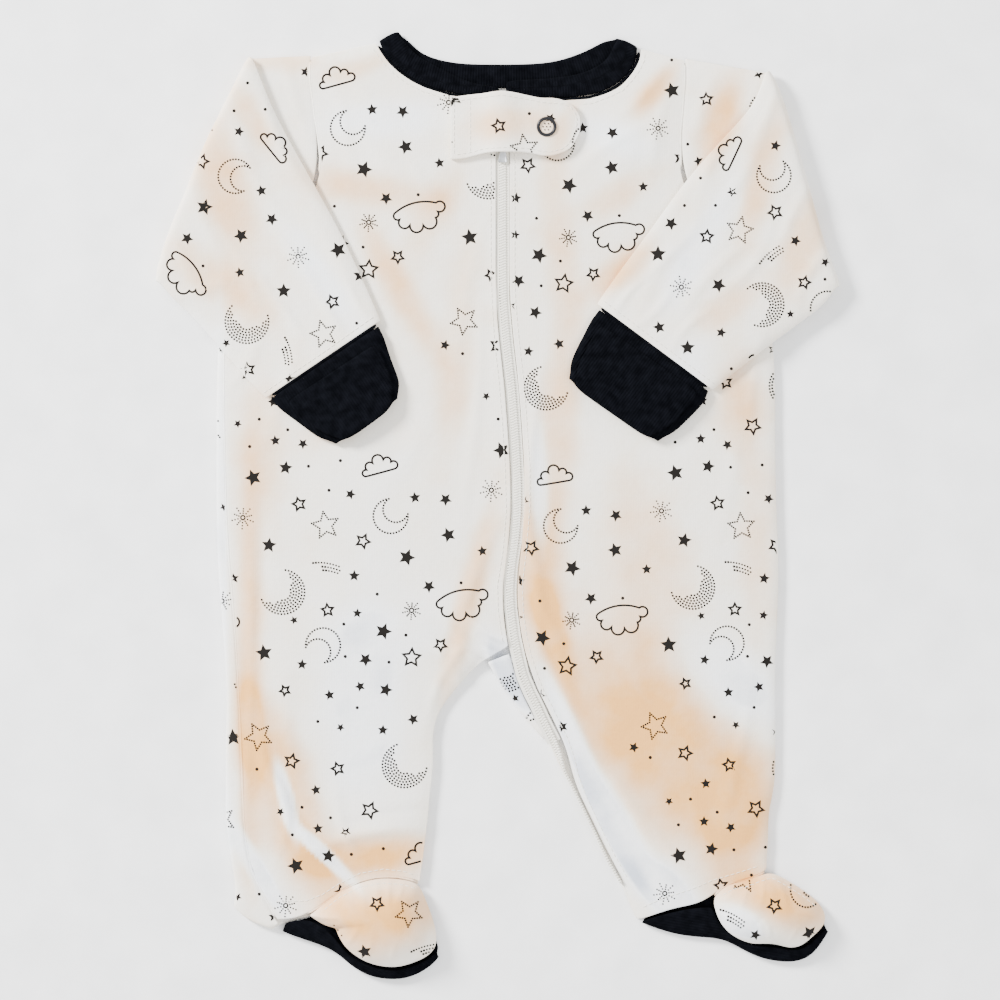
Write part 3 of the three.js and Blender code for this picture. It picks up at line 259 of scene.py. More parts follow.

# Soft patches of painted light and shade: warm painted shade (positive), cool painted light and painted
# highlights along fold ridges (negative); middle, direction, reach, width, strength.
SHADE_AND_LIGHT_PATCHES = (
    (-118.8, -84.5, 90, 100, 7, 0.75),
    (-104, -128, -66, 44, 15, 0.85),
    (-58, -168, 6, 32, 11, 1.0),
    (-92, -172, -50, 30, 12, 0.6),
    (-14, -46, 75, 46, 7, 0.8),
    (20, -30, 92, 44, 13, 0.75),
    (76, -112, -54, 62, 36, 1.05),
    (116, -150, 80, 34, 18, 0.75),
    (73, -27, 100, 44, 20, 0.5),
    (28, -66, 104, 30, 8, 0.6),
    (124, -10, 90, 60, 10, 0.35),
    (-131, 150, -75, 36, 13, 0.75),
    (-118, 186, -60, 20, 7, 0.5),
    (-140, 110, -50, 24, 9, 0.5),
    (-118, 100, -48, 18, 9, 0.55),
    (-61, 151, -10, 38, 9, 0.55),
    (-47, 103, -60, 40, 8, 0.65),
    (-104, 212, 0, 20, 6, 0.45),
    (-70, 208, 20, 20, 5, 0.4),
    (-113, 26, 90, 34, 13, 0.5),
    (-74, 40, 30, 24, 10, 0.35),
    (-20, 70, 84, 50, 9, 0.4),
    (-30, 140, 60, 26, 9, 0.4),
    (30, 122, 95, 58, 9, 0.5),
    (75.6, 198.7, 50, 17, 6, 0.75),
    (107, 184, 70, 24, 9, 0.85),
    (59, 112, 40, 20, 8, 0.75),
    (126, 155, 75, 34, 8, 0.6),
    (146, 122, 70, 28, 10, 0.65),
    (112, 96, 36, 22, 8, 0.5),
    (116, 50, 90, 24, 11, 0.55),
    (30, 36, 90, 36, 9, 0.55),
    (60, 150, 30, 26, 8, 0.4),
    (4, 182, 0, 24, 8, 0.5),
    (34, 184, 70, 14, 5, 0.45),
    (-56, -198, 10, 30, 17, 1.0),
    (137, -190, -20, 26, 12, 0.95),
    (-64, -100, -88, 52, 22, -0.7),
    (-50, -60, 20, 30, 18, -0.35),
    (-51.6, 184, 0, 32, 9, -0.6),
    (-84, 108, -55, 34, 7, -0.6),
    (-145, 84, -40, 14, 8, -0.4),
    (96, 122, 60, 34, 8, -0.7),
    (56, 176, -20, 22, 9, -0.6),
    (88, 60, 60, 20, 10, -0.5),
    (20, 8, 92, 26, 4, -0.9),
    (-101, -142, -76, 17, 3, -2.4),
    (-84, -167, -44, 20, 3, -2.4),
    (-117, -172, -58, 26, 4, -1.4),
    (36, -112, -66, 34, 4.5, -1.6),
    (58, -156, -61, 34, 6.5, -2.2),
    (82, -186, -48, 18, 8, -2.2),
    (112, -84, -40, 30, 15, -0.9),
    (116, -200, -30, 10, 6, -1.6),
    (8, -82, -60, 22, 7, -1.4),
    (-133, -60, 90, 130, 3.5, -0.9),
    (-134, -170, 80, 30, 6, -0.9),
    (-60, 0, 80, 40, 22, -0.2),
)

# Cap on the painted cool light, then patches of painted deep shade, blue-grey cloth where it turns away
# from the light, in the same columns.
LIGHT_PATCH_LIMIT = -0.62
DEEP_SHADE_PATCHES = (
    (0, -78, -56, 24, 9, 0.3),
    (46, -142, -60, 52, 5, 0.2),
    (66, -182, -54, 18, 6, 0.22),
    (-122, -190, -40, 16, 5, 0.12),
    (-28, 204, -30, 20, 5, 0.08),
)

# One repeat of the print, charted about a point of the right front: u and v run across and along it.
STARS = (
    (-47.5, 17, 2.4), (-34.5, 14, 2.4), (-44, 3.5, 3.1), (-60, 0.5, 3.8), (-14.5, -12.5, 2.4),
    (16, -17.5, 2.6), (30.5, -20, 2.9), (-56, -32.5, 3.4), (30, -37, 3.4), (9, -45.5, 3.8),
    (-74.5, -46.5, 2.4), (18, -60.5, 2.9), (-17.5, -69.5, 2.2), (-48, -69.5, 1.9),
    (-6, -79.5, 3.8), (-64, -83.5, 3.8), (-16, -92, 3.1), (-46.5, -91, 2.4), (-20, -104.5, 2.4),
    (-8, -107.5, 3.1), (-35, -107, 2.4), (-31.5, -123, 1.9), (-11.5, -126.5, 2.4), (3.5, -123, 2.6),
    (-81.5, -133.5, 2.4), (-46.5, -151.5, 2.4), (-64.5, -160, 1.9), (-17, -51.5, 2.6),
)
OUTLINE_STARS = (
    (-39.5, -14.5, 3.6), (-11, -35.5, 3.8), (-31.5, -66.5, 3.4), (20.5, -89, 3.4), (6, -93.5, 4.8),
    (-56, -102.5, 2.9), (-56.5, -136.5, 3.8), (-35, -142.5, 3.4), (-22, -164, 4.3),
)
DOTTED_STARS = ((-28, -26, 6.7), (-71, -123, 6.7))
DOTTED_MOONS = ((3.5, -25, 45), (-35.5, -83, 225))
FULL_MOONS = ((-52, -55.5, 135), (-3, -144.5, 45))
BURSTS = ((-67, -18, 5.3), (8.5, -71, 4.3))
COMETS = ((-28.5, -46.5),)
DOTS = (
    (-60, 15.5), (-17.5, 4), (-33, 3), (-24.5, -9.5), (33.5, -60.5), (-7, -61.5), (-24.5, -74),
    (4.5, -82.5), (-25.5, -89.5), (-5, -94.5), (-22.5, -114.5), (-42, -119), (-73.5, -138.5),
    (-54, -159), (-41, -165.5),
)

# Shapes of the motifs: stars' inner corners, and each moon's radius, bite, depth and dot spacing.
STAR_WAIST = 0.47
OUTLINE_STAR_WAIST = 0.5
DOTTED_STAR_STEP = 1.15
DOTTED_MOON_SHAPE = (8.3, 0.74, 0.48, 1.4)
FULL_MOON_SHAPE = (10.6, 0.86, 0.58, 1.55)
MOON_ROW_STEP = 0.85
MOON_ROW_TIP = 0.6
MOON_INNERMOST = 0.3
MOON_BITE_SLACK = 0.1
MOON_DOT = 1.1
BURST_RAYS = 10
BURST_TURN = 8
BURST_SHORT_RAY = 0.8
BURST_DOT = 0.85
BURST_DOTS = 4
COMET_ROWS = ((-7.4, 10, 2.2), (-3.2, 7, 0.4), (-3, 6, -1.2))
COMET_STEP = 1.35
COMET_FALL = 0.022
COMET_TOP = 7
COMET_ROW_DROP = 0.1
COMET_HEAD = (2, 1.25)
CLOUD_STEP = 0.9

# Clouds: place in the repeat, turn, and the outline as cusps, each with how far the arc to the next bulges.
CLOUD_PLACE = (0.5, 0, 5)
CLOUD_OUTLINE = (
    (-6.4, -4.3, 0.75), (-6.1, -1.3, 0.5), (-2.6, 1.2, 0.62), (2.6, 2, 0.45), (6, 0.2, 0.7),
    (6.8, -3.4, 0),
)
LOW_CLOUD_PLACE = (32.5, -71, 2)
LOW_CLOUD_OUTLINE = (
    (9.2, 5.4, 0.95), (9.4, 1.2, 0.3), (8, -1.6, 0.55), (1.6, -4, 0.6), (-4.6, -3.2, 0.55),
    (-9.2, 0, 0.5), (-10.6, 3.6, 0.12),
)

# Where the print lies on each piece: piece, repeat's origin, turn, scale, height band and side.
PRINT_PLACES = (
    ("front_right", -57.4, 18.7, 6.3, 1.0, -1, 99, 1),
    ("front_left", 26.6, 13.9, 0.5, 0.98, -1, 99, 1),
    ("sleeve_piece_right", -106, 172, -60, 0.98, 5.2, 99, 1),
    ("sleeve_piece_right", -122, 150, 8, 0.98, -1, 5.2, 1),
    ("sleeve_piece_right", -122, 150, 8, 0.98, -1, 99, -1),
    ("sleeve_piece_left", 110, 168, 56, 0.98, 5.2, 99, 1),
    ("sleeve_piece_left", 128, 146, -8, 0.98, -1, 5.2, 1),
    ("sleeve_piece_left", 128, 146, -8, 0.98, -1, 99, -1),
    ("back", 54, -22, 2, 1.0, 1.6, 99, 1),
    ("back", 30, 10, 0, 1.0, -1, 99, -1),
    ("toe_piece_right", -30, -160, 28, 0.98, -1, 99, 1),
    ("toe_piece_left", 150, -160, -12, 0.98, -1, 99, 1),
    ("guard_tab", 39, 198, 4, 1.0, -1, 99, 1),
)
STAR_WEIGHT = 1.12
FACING_LIMIT = 0.25
INK_LIFT = 0.07
INK_STEP = 1.3
CAST_HEIGHT = 60

# Zip line, from the neck round the crotch to the foot: x, y and how far it has turned on edge.
ZIP_LINE = (
    (2.5, 190.5, 0), (2.5, 168.5, 0), (2.5, 140, 0), (2.5, 98, 0), (4.5, 76.5, 0), (7, 55, 0),
    (8.5, 33.5, 0), (9.8, 12, 0), (9.8, -4, 0), (8.6, -18, 0), (6.6, -29.5, 0), (5.9, -41.5, 0),
    (6.3, -50, 0), (8, -64, 0), (12, -82, 0), (15.7, -90.5, 0), (18.8, -96.5, 5), (21.9, -103.5, 8),
    (26.4, -112.5, 20), (29.4, -119.5, 50), (31.8, -127.5, 85), (36.3, -136.3, 90), (41.6, -147, 90),
    (47.2, -158.5, 90), (52.4, -170, 90), (59.2, -181.5, 90),
)
COIL_HALF_WIDTH = 1.9
COIL_OFFSET = 0.42
COIL_REACH = 0.56
COIL_GIRTH = 0.36
COIL_HEIGHT = 0.78
COIL_SIDES = 8
COIL_SECTIONS = ((-1, 0.55), (-0.8, 0.9), (0, 1), (0.8, 0.9), (1, 0.55))
CORE_THINNING = 0.5
TAPE_STRIP_START = 188
TAPE_STRIP_INSIDE = 1.7
TAPE_STRIP_RISE = 0.3
TAPE_STRIP_FALL = -0.5
TAPE_STRIP_DROP = 1.1
TAPE_STRIP_PITCH = 2
SLIDER_WAIST = 0.72
PULL_WAIST = 0.6
TAPE_STRIP_Y = (-64, -46)
TAPE_STRIP_REACH = (3.3, 3.05)
TAPE_STRIP_TURN = math.radians(30)

# One stitch: half width, flatness, sides, lift over the cloth and its sections along its length.
STITCH_HALF_WIDTH = 0.2
STITCH_FLATNESS = 0.9
STITCH_SIDES = 6
STITCH_LIFT = 0.06
STITCH_SECTIONS = ((-0.5, 0.25), (-0.36, 0.85), (0, 1), (0.36, 0.85), (0.5, 0.25))

# Lines of stitching on each piece: piece and the points that the needle passes.
STITCH_LINES = (
    ("front_right", ((-3.2, 188), (-3.2, 150), (-3.2, 121), (-3, 107), (-2.6, 95), (-1.4, 76.5),
                     (0.6, 59.5), (2.1, 40.5), (3.6, 18.5), (4.1, -3), (2.6, -22), (-0.1, -39),
                     (0.3, -52), (1.8, -62), (2.4, -67))),
    ("front_left", ((8.2, 188), (8.2, 150), (8.2, 121), (8.2, 107), (8.7, 95), (10.4, 76.5),
                    (12.4, 59.5), (13.9, 40.5), (15.4, 18.5), (15.4, -3), (13.9, -22), (11.9, -39),
                    (12.4, -52), (14.1, -64), (16.1, -72.5), (19.1, -82), (22.1, -89.5), (25.6, -96),
                    (29.2, -103.5), (33.7, -112.5), (36.8, -121.5), (38.8, -130), (42.3, -139.5),
                    (46.3, -148), (50.7, -157.5), (56, -168), (62.4, -179.5))),
    ("front_right", ((-60, 218.5), (-57.6, 215), (-54.3, 210.8), (-49.6, 206), (-43.3, 201.4),
                     (-36, 197.8), (-24, 193.9))),
    ("front_left", ((70.6, 216), (70.3, 212.4), (68, 207.6), (64.2, 202.6), (60.2, 198.4),
                    (54.8, 195.6), (45, 191.9), (41, 191.6))),
    ("front_right", ((-91, 212), (-91.4, 204), (-90, 193), (-88.4, 181.5), (-86.5, 168))),
    ("guard_tab", ((-20.8, 192.6), (-20.8, 167.2))),
    ("guard_tab", ((-13, 193.6), (-13, 168.2))),
    ("guard_tab", ((-20.8, 192.8), (-13, 194), (-6.5, 194.6), (2.5, 195.6), (11, 194.3), (21.5, 192.2),
                   (31, 191.6), (35, 190), (37, 187), (38, 184), (37.6, 180), (36, 176), (33.6, 172),
                   (31, 170), (26, 168.6), (21.5, 168.6), (16, 170), (6.5, 170.6), (-6.5, 170),
                   (-13, 168.2), (-20.8, 167))),
    ("sleeve_piece_right", ((-59.2, 89.6), (-84, 72), (-111.6, 53.4))),
    ("sleeve_piece_left", ((50.2, 97.6), (76, 78), (103.6, 57.6))),
    ("toe_piece_right", ((-83, -194.4), (-76, -188.6), (-65.8, -183.4), (-55, -181.4), (-45, -182.2),
                    (-39.8, -184))),
    ("toe_piece_left", ((107.6, -187.4), (113, -184.2), (118.8, -183.2), (126.4, -180.4), (131.5, -179),
                   (138.4, -182.8), (146, -187.6), (152.8, -193))),
    ("front_right", ((-106.5, -190.6), (-92, -190.2), (-84, -187.2), (-76, -182), (-66, -177),
                     (-55, -175), (-45, -176), (-39.5, -178))),
    ("front_left", ((69.4, -193.4), (80, -188.6), (92, -184.8), (103, -180.2), (113, -177.4), (124, -174))),
)

# Rolled seam edges: name, finish, piece that they lie beside, side of it, radius and path.
SEAM_ROLLS = (
    ("seam_side", "jersey", "front_right", 1, 0.75, (
        (-128.9, 96), (-129.6, 88), (-130.9, 76.5), (-130.9, 59.5), (-130.9, 40.5), (-130.4, 18.5),
        (-129.9, -3), (-128.9, -22), (-127.4, -39), (-126.4, -52), (-125.2, -68), (-124.7, -77),
        (-123.9, -92), (-123.4, -101), (-122.9, -112), (-122.4, -125), (-121.9, -138), (-121.4, -151.5),
        (-120.4, -163.5), (-117.9, -175.5), (-112.5, -186.8), (-109, -193), (-106, -198.4))),
    ("seam_armhole_right", "jersey", "front_right", 1, 0.65, (
        (-89.3, 213), (-89.8, 210), (-89.8, 204.5), (-89.3, 198.5), (-88.4, 193), (-87.8, 187),
        (-86.8, 181.5), (-85.8, 174.5), (-84.8, 166), (-85.3, 158))),
    ("seam_armhole_left", "jersey", "front_left", -1, 0.65, (
        (89.8, 211.6), (89.8, 207.5), (89.8, 201.5), (89.3, 196), (88.9, 189.5), (88.3, 183.5),
        (87.8, 177.5), (87.8, 172), (87.8, 166), (87.8, 160))),
    ("seam_instep_right", "jersey", "front_right", 1, 0.75, (
        (-92, -196.5), (-84, -192.2), (-77, -186.9), (-71, -183.2), (-65, -180.4), (-59, -179),
        (-54, -178.6), (-48, -178.7), (-42, -180), (-38, -181.4))),
    ("seam_instep_left", "jersey", "front_left", 1, 0.75, (
        (103.4, -188), (107.6, -184), (113, -181.2), (118.6, -180.5), (123, -178.9), (126.6, -177.2),
        (129, -175.8))),
    ("seam_neck_right", "black_rib", "front_right", -1, 1, (
        (-57.3, 220.2), (-54.9, 215.9), (-51.8, 211.8), (-47.2, 207.2), (-41, 203), (-34.8, 199.9),
        (-23, 196.2), (-12, 194.7), (-2, 193.9))),
    ("seam_neck_left", "black_rib", "front_left", 1, 1, (
        (67.8, 217.4), (67.5, 212.8), (65.2, 208.4), (61.6, 204.1), (58, 200.5), (53.6, 197.9),
        (44, 194.5), (34, 193.9), (25.5, 193.9), (13, 193.6))),
    ("seam_cuff_right", "black_rib", "sleeve_piece_right", -1, 1, (
        (-57.4, 86.1), (-66, 80.3), (-76, 73.6), (-84, 68.2), (-93, 62.1), (-102, 56), (-109, 51.3))),
    ("seam_cuff_left", "black_rib", "sleeve_piece_left", 1, 1, (
        (49, 94.1), (58, 87.4), (67, 80.7), (75, 74.8), (84, 68.1), (93, 61.4), (101.2, 55.3))),
)
ROLL_CAST = 1.6
ROLL_SIDES = 10
ROLL_END = 0.3
ROLL_PITCH = 1.5
ROLL_EVENING = 5

# Pulls that round the corners of rib pieces: place, reach and pull.
CORNER_PULLS = (
    (-45, 49.5, 7, -3, 0.8),
    (-78, 25.5, 8, 0.8, 3.2),
    (-110, 50, 5, 1.4, 0.4),
    (-56, 86, 5, -0.8, -1),
    (31, 59.5, 7, 3, 0.4),
    (78, 26.5, 8, -1.2, 3.2),
    (102, 54, 5, -1.2, 0.2),
    (48, 94, 5, 0.8, -1),
    (-45, 227, 4, -0.4, -1.6),
    (57, 225, 4, 0.3, -1.4),
)

# Ring snap: section as reach and rise, sides, and the raised dots inside it.
RING_SECTION = ((3.2, 0), (3.2, 0.5), (3.5, 0.95), (4, 1.15), (4.5, 0.95), (4.8, 0.45), (4.8, 0))
RING_SIDES = 48
RING_SINK = 0.1
SNAP_DOTS = 6
SNAP_DOT_REACH = 1.7
SNAP_DOT_SECTION = ((0, 0.42), (0.25, 0.3))
SNAP_DOT_SIDES = 6

# Floor, lights as name, place, size and share of the main light, and the camera's sensor.
FLOOR_HALF = 2500
FLOOR_DROP = 0.0002
LIGHTS = (
    ("main_light", (-1.9, 1.3, 1.25), 0.7, 1),
    ("fill_light", (1.3, -0.9, 2.2), 1.8, 0.22),
)
SURROUND_COLOUR = (0.97, 0.985, 1, 1)
SENSOR_WIDTH = 36


class ClothSettings(bpy.types.PropertyGroup):
    """Colours and smoothness of the cloth."""

    jersey: FloatVectorProperty(
        name="Jersey", description="Colour of the jersey", default=(0.90, 0.84, 0.74), **COLOUR_OPTIONS,
    )
    # Painted warm shade.
    warm_shade: FloatVectorProperty(
        name="Warm jersey", description="Colour of the jersey in its warm patches",
        default=(0.80, 0.40, 0.115), **COLOUR_OPTIONS,
    )
    # Painted cool light.
    cool_light: FloatVectorProperty(
        name="Cool jersey", description="Colour of the jersey in its cool patches",
        default=(0.92, 0.93, 0.94), **COLOUR_OPTIONS,
    )
    # Painted deep shade, blue-grey.
    deep_shade: FloatVectorProperty(
        name="Shaded jersey", description="Colour of the jersey where it turns in at the inner legs",
        default=(0.52, 0.56, 0.64), **COLOUR_OPTIONS,
    )
    rib: FloatVectorProperty(
        name="Rib", description="Colour of the rib at the neck, wrists and soles",
        default=(0.0022, 0.0024, 0.0034), **COLOUR_OPTIONS,
    )
    rib_pitch: FloatProperty(
        name="Rib pitch", description="Distance between the ribs of the knit", unit="LENGTH",
        default=0.0013, min=0.0005, max=0.005,
    )
    panel_levels: IntProperty(
        name="Panel smoothness", description="Subdivision of the large pieces", default=3, min=1, max=3,
    )
    small_levels: IntProperty(
        name="Trim smoothness", description="Subdivision of the back and the small pieces", default=2,
        min=1, max=3,
    )


class PrintSettings(bpy.types.PropertyGroup):
    """Sizes and colour of the printed repeat."""

    ink: FloatVectorProperty(
        name="Ink", description="Colour of the print", default=(0.006, 0.0045, 0.0035),
        **COLOUR_OPTIONS,
    )
    repeat_width: FloatProperty(
        name="Repeat width", description="Width of one repeat of the print", unit="LENGTH",
        default=0.1198, min=0.05, max=0.3,
    )
    repeat_height: FloatProperty(
        name="Repeat height", description="Height of one repeat of the print", unit="LENGTH",
        default=0.187, min=0.05, max=0.4,
    )
    line: FloatProperty(
        name="Line", description="Width of the drawn lines", unit="LENGTH", default=0.00096, min=0.0002,
        max=0.002,
    )
    dot: FloatProperty(
        name="Fine dot", description="Radius of the small dots that moons and dotted stars are made of",
        unit="LENGTH", default=0.00052, min=0.0001, max=0.001,
    )
    big_dot: FloatProperty(
        name="Single dot", description="Radius of the dots between the stars", unit="LENGTH",
        default=0.00085, min=0.0002, max=0.002,
    )


class ZipSettings(bpy.types.PropertyGroup):
    """Sizes and colours of the zip and the stitches."""

    tooth_pitch: FloatProperty(
        name="Tooth pitch", description="Distance between the coil's turns along the zip",
        unit="LENGTH", default=0.0013, min=0.0008, max=0.004,
    )
    nylon: FloatVectorProperty(
        name="Coil and tape", description="Colour of the zip's coil and tape",
        default=(0.80, 0.77, 0.69), **COLOUR_OPTIONS,
    )
    thread: FloatVectorProperty(
        name="Thread", description="Colour of the sewing thread", default=(0.80, 0.77, 0.69),
        **COLOUR_OPTIONS,
    )
    stitch_length: FloatProperty(
        name="Stitch", description="Length of one stitch", unit="LENGTH", default=0.0021, min=0.001,
        max=0.005,
    )
    stitch_pitch: FloatProperty(
        name="Stitch pitch", description="Distance from one stitch to the next", unit="LENGTH",
        default=0.0028, min=0.001, max=0.006,
    )


class StageSettings(bpy.types.PropertyGroup):
    """Floor, lights and the view straight down."""

    view_width: FloatProperty(
        name="View width", description="Width of what the camera sees at the floor", unit="LENGTH",
        default=0.48, min=0.1, max=2,
    )
    camera_height: FloatProperty(
        name="Camera height", description="Height of the camera over the floor", unit="LENGTH",
        default=2.6, min=0.5, max=10,
    )
    floor: FloatVectorProperty(
        name="Floor", description="Colour of the floor", default=(0.93, 0.93, 0.93), **COLOUR_OPTIONS,
    )
    light: FloatProperty(
        name="Main light", description="Power of the large soft light", unit="POWER", default=230,
        min=0, max=900,
    )
    surround: FloatProperty(
        name="Surround", description="Strength of the even light from all round", default=1.45, min=0,
        max=5,
    )


def positions(mesh):
    """Points of a mesh in millimetres."""
    flat = np.empty(len(mesh.vertices) * 3, np.float32)
    mesh.vertices.foreach_get("co", flat)
    return flat.reshape(-1, 3).astype(float) / MM


def set_positions(mesh, points):
    """Moves a mesh's points to places in millimetres."""
    mesh.vertices.foreach_set("co", (points * MM).astype(np.float32).ravel())
    mesh.update()


def smooth_step(values):
    """Eases a share from 0 to 1."""
    share = np.clip(values, 0, 1)
    return share * share * (3 - 2 * share)


def along_and_across(points, x, y, turn):
    """Distances of points from a middle, along and across a direction."""
    angle = math.radians(turn)
    dx = points[:, 0] - x
    dy = points[:, 1] - y
    along = dx * math.cos(angle) + dy * math.sin(angle)
    across = dy * math.cos(angle) - dx * math.sin(angle)
    return along, across


def crease_heights(points, creases):
    """Rise of a table of soft creases at each point, in millimetres."""
    heights = np.zeros(len(points))
    for x, y, turn, length, width, rise, bend in creases:
        along, across = along_and_across(points, x, y, turn)
        bowed = across - bend * (along / length) ** 2
        heights += rise * np.exp(-((along / length) ** 2) - (bowed / width) ** 2)
    return heights


def cloth_waves(points):
    """Gentle unevenness, the same for every layer at one place."""
    return np.array(
        [
            WIDE_WAVE_HEIGHT * noise.noise(Vector((x / WIDE_WAVE, y / WIDE_WAVE, WIDE_WAVE_LAYER)))
            + FINE_WAVE_HEIGHT * noise.noise(Vector((x / FINE_WAVE, y / FINE_WAVE, FINE_WAVE_LAYER)))
            for x, y in points[:, :2]
        ]
    )


def lift_layers(points):
    """Body creases and waves, which every layer over the floor follows."""
    share = smooth_step((points[:, 2] - LOWEST_LAYER) / LAYER_BLEND)
    lifted = points.copy()
    lifted[:, 2] += share * (crease_heights(points, BODY_CREASES) + cloth_waves(points))
    return lifted


def add_ridges(points, creases, fade_from, fade_over):
    """Ridges that only rise, on the cloth above a height."""
    share = smooth_step((points[:, 2] - fade_from) / fade_over)
    ridged = points.copy()
    ridged[:, 2] += share * np.maximum(0, crease_heights(points, creases))
    return ridged


def round_corners(points):
    """Pulls the rib pieces' corners in."""
    rounded = points.copy()
    for x, y, reach, pull_x, pull_y in CORNER_PULLS:
        share = np.exp(-((points[:, 0] - x) ** 2 + (points[:, 1] - y) ** 2) / reach**2)
        rounded[:, 0] += share * pull_x
        rounded[:, 1] += share * pull_y
    return rounded


def smooth_copy(node, name, levels, rim=RIM_CREASE):
    """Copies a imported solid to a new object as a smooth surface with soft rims."""
    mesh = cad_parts[node].data.copy()
    mesh.name = name
    mesh.materials.clear()
    build = bmesh.new()
    build.from_mesh(mesh)
    bmesh.ops.remove_doubles(build, verts=build.verts, dist=MERGE_DISTANCE)
    bmesh.ops.join_triangles(
        build,
        faces=build.faces,
        angle_face_threshold=JOIN_ANGLE,
        angle_shape_threshold=math.pi,
    )
    bmesh.ops.recalc_face_normals(build, faces=build.faces)
    creases = build.edges.layers.float.new("crease_edge")
    for edge in build.edges:
        if edge.calc_face_angle(0) > RIM_ANGLE:
            edge[creases] = rim
    build.to_mesh(mesh)
    build.free()
    piece = bpy.data.objects.new(name, mesh)
    bpy.context.scene.collection.objects.link(piece)
    subdivision = piece.modifiers.new("Smooth", "SUBSURF")
    subdivision.levels = levels
    subdivision.render_levels = levels
    apply_modifiers(piece)
    return piece


def apply_modifiers(piece):
    """Replaces a piece's mesh by what its modifiers make of it."""
    depsgraph = bpy.context.evaluated_depsgraph_get()
    made = bpy.data.meshes.new_from_object(piece.evaluated_get(depsgraph))
    old = piece.data
    piece.modifiers.clear()
    piece.data = made
    bpy.data.meshes.remove(old)
    made.name = piece.name
    made.polygons.foreach_set("use_smooth", [True] * len(made.polygons))


def new_object(name, points, faces, smooth=True):
    """Makes an object from points in millimetres and faces."""
    mesh = bpy.data.meshes.new(name)
    mesh.from_pydata([tuple(co * MM for co in point) for point in points], [], faces)
    mesh.polygons.foreach_set("use_smooth", [smooth] * len(mesh.polygons))
    mesh.update()
    piece = bpy.data.objects.new(name, mesh)
    bpy.context.scene.collection.objects.link(piece)
    return piece


def patch_strengths(points, patches):
    """Sum of soft-edged patches at each point."""
    total = np.zeros(len(points))
    for x, y, turn, length, width, strength in patches:
        along, across = along_and_across(points, x, y, turn)
        total += strength * np.exp(-(((along / length) ** 2 + (across / width) ** 2) ** 1.5))
    return total


def set_painted_light(mesh):
    """Writes the painted light and shade at each point, from 0 for painted deep shade through painted cool
    light and plain cloth at the middle to 1 for painted warm shade.
    """
    points = positions(mesh)
    tone = np.clip(patch_strengths(points, SHADE_AND_LIGHT_PATCHES), LIGHT_PATCH_LIMIT, 1)
    tone -= patch_strengths(points, DEEP_SHADE_PATCHES)
    attribute = mesh.attributes.new("tone", "FLOAT", "POINT")
    attribute.data.foreach_set("value", np.clip(0.5 + tone / 2, 0, 1).astype(np.float32))


def set_rib_run(mesh, run):
    """Writes the distance across the ribs at each point, in metres."""
    attribute = mesh.attributes.new("rib_run", "FLOAT", "POINT")
    attribute.data.foreach_set("value", (run * MM).astype(np.float32))


def distance_along(points, path):
    """Distance along a path of the nearest place on it, for each point."""
    best = np.full(len(points), np.inf)
    run = np.zeros(len(points))
    passed = 0
    for (ax, ay), (bx, by) in zip(path, path[1:]):
        length = math.hypot(bx - ax, by - ay)
        share = ((points[:, 0] - ax) * (bx - ax) + (points[:, 1] - ay) * (by - ay)) / length**2
        share = np.clip(share, 0, 1)
        away = np.hypot(points[:, 0] - ax - share * (bx - ax), points[:, 1] - ay - share * (by - ay))
        nearer = away < best
        best[nearer] = away[nearer]
        run[nearer] = passed + share[nearer] * length
        passed += length
    return run


def material_start(name, roughness):
    """New material with its shader, and a function that adds and links nodes."""
    material = bpy.data.materials.new(name)
    material.use_nodes = True
    tree = material.node_tree
    shader = tree.nodes["Principled BSDF"]
    shader.inputs["Roughness"].default_value = roughness

    def add(kind, links=(), values=(), **settings):
        made = tree.nodes.new(kind)
        for key, value in settings.items():
            setattr(made, key, value)
        for socket, value in values:
            made.inputs[socket].default_value = value
        for socket, source in links:
            tree.links.new(source, made.inputs[socket])
        return made

    return material, shader, tree.links, add


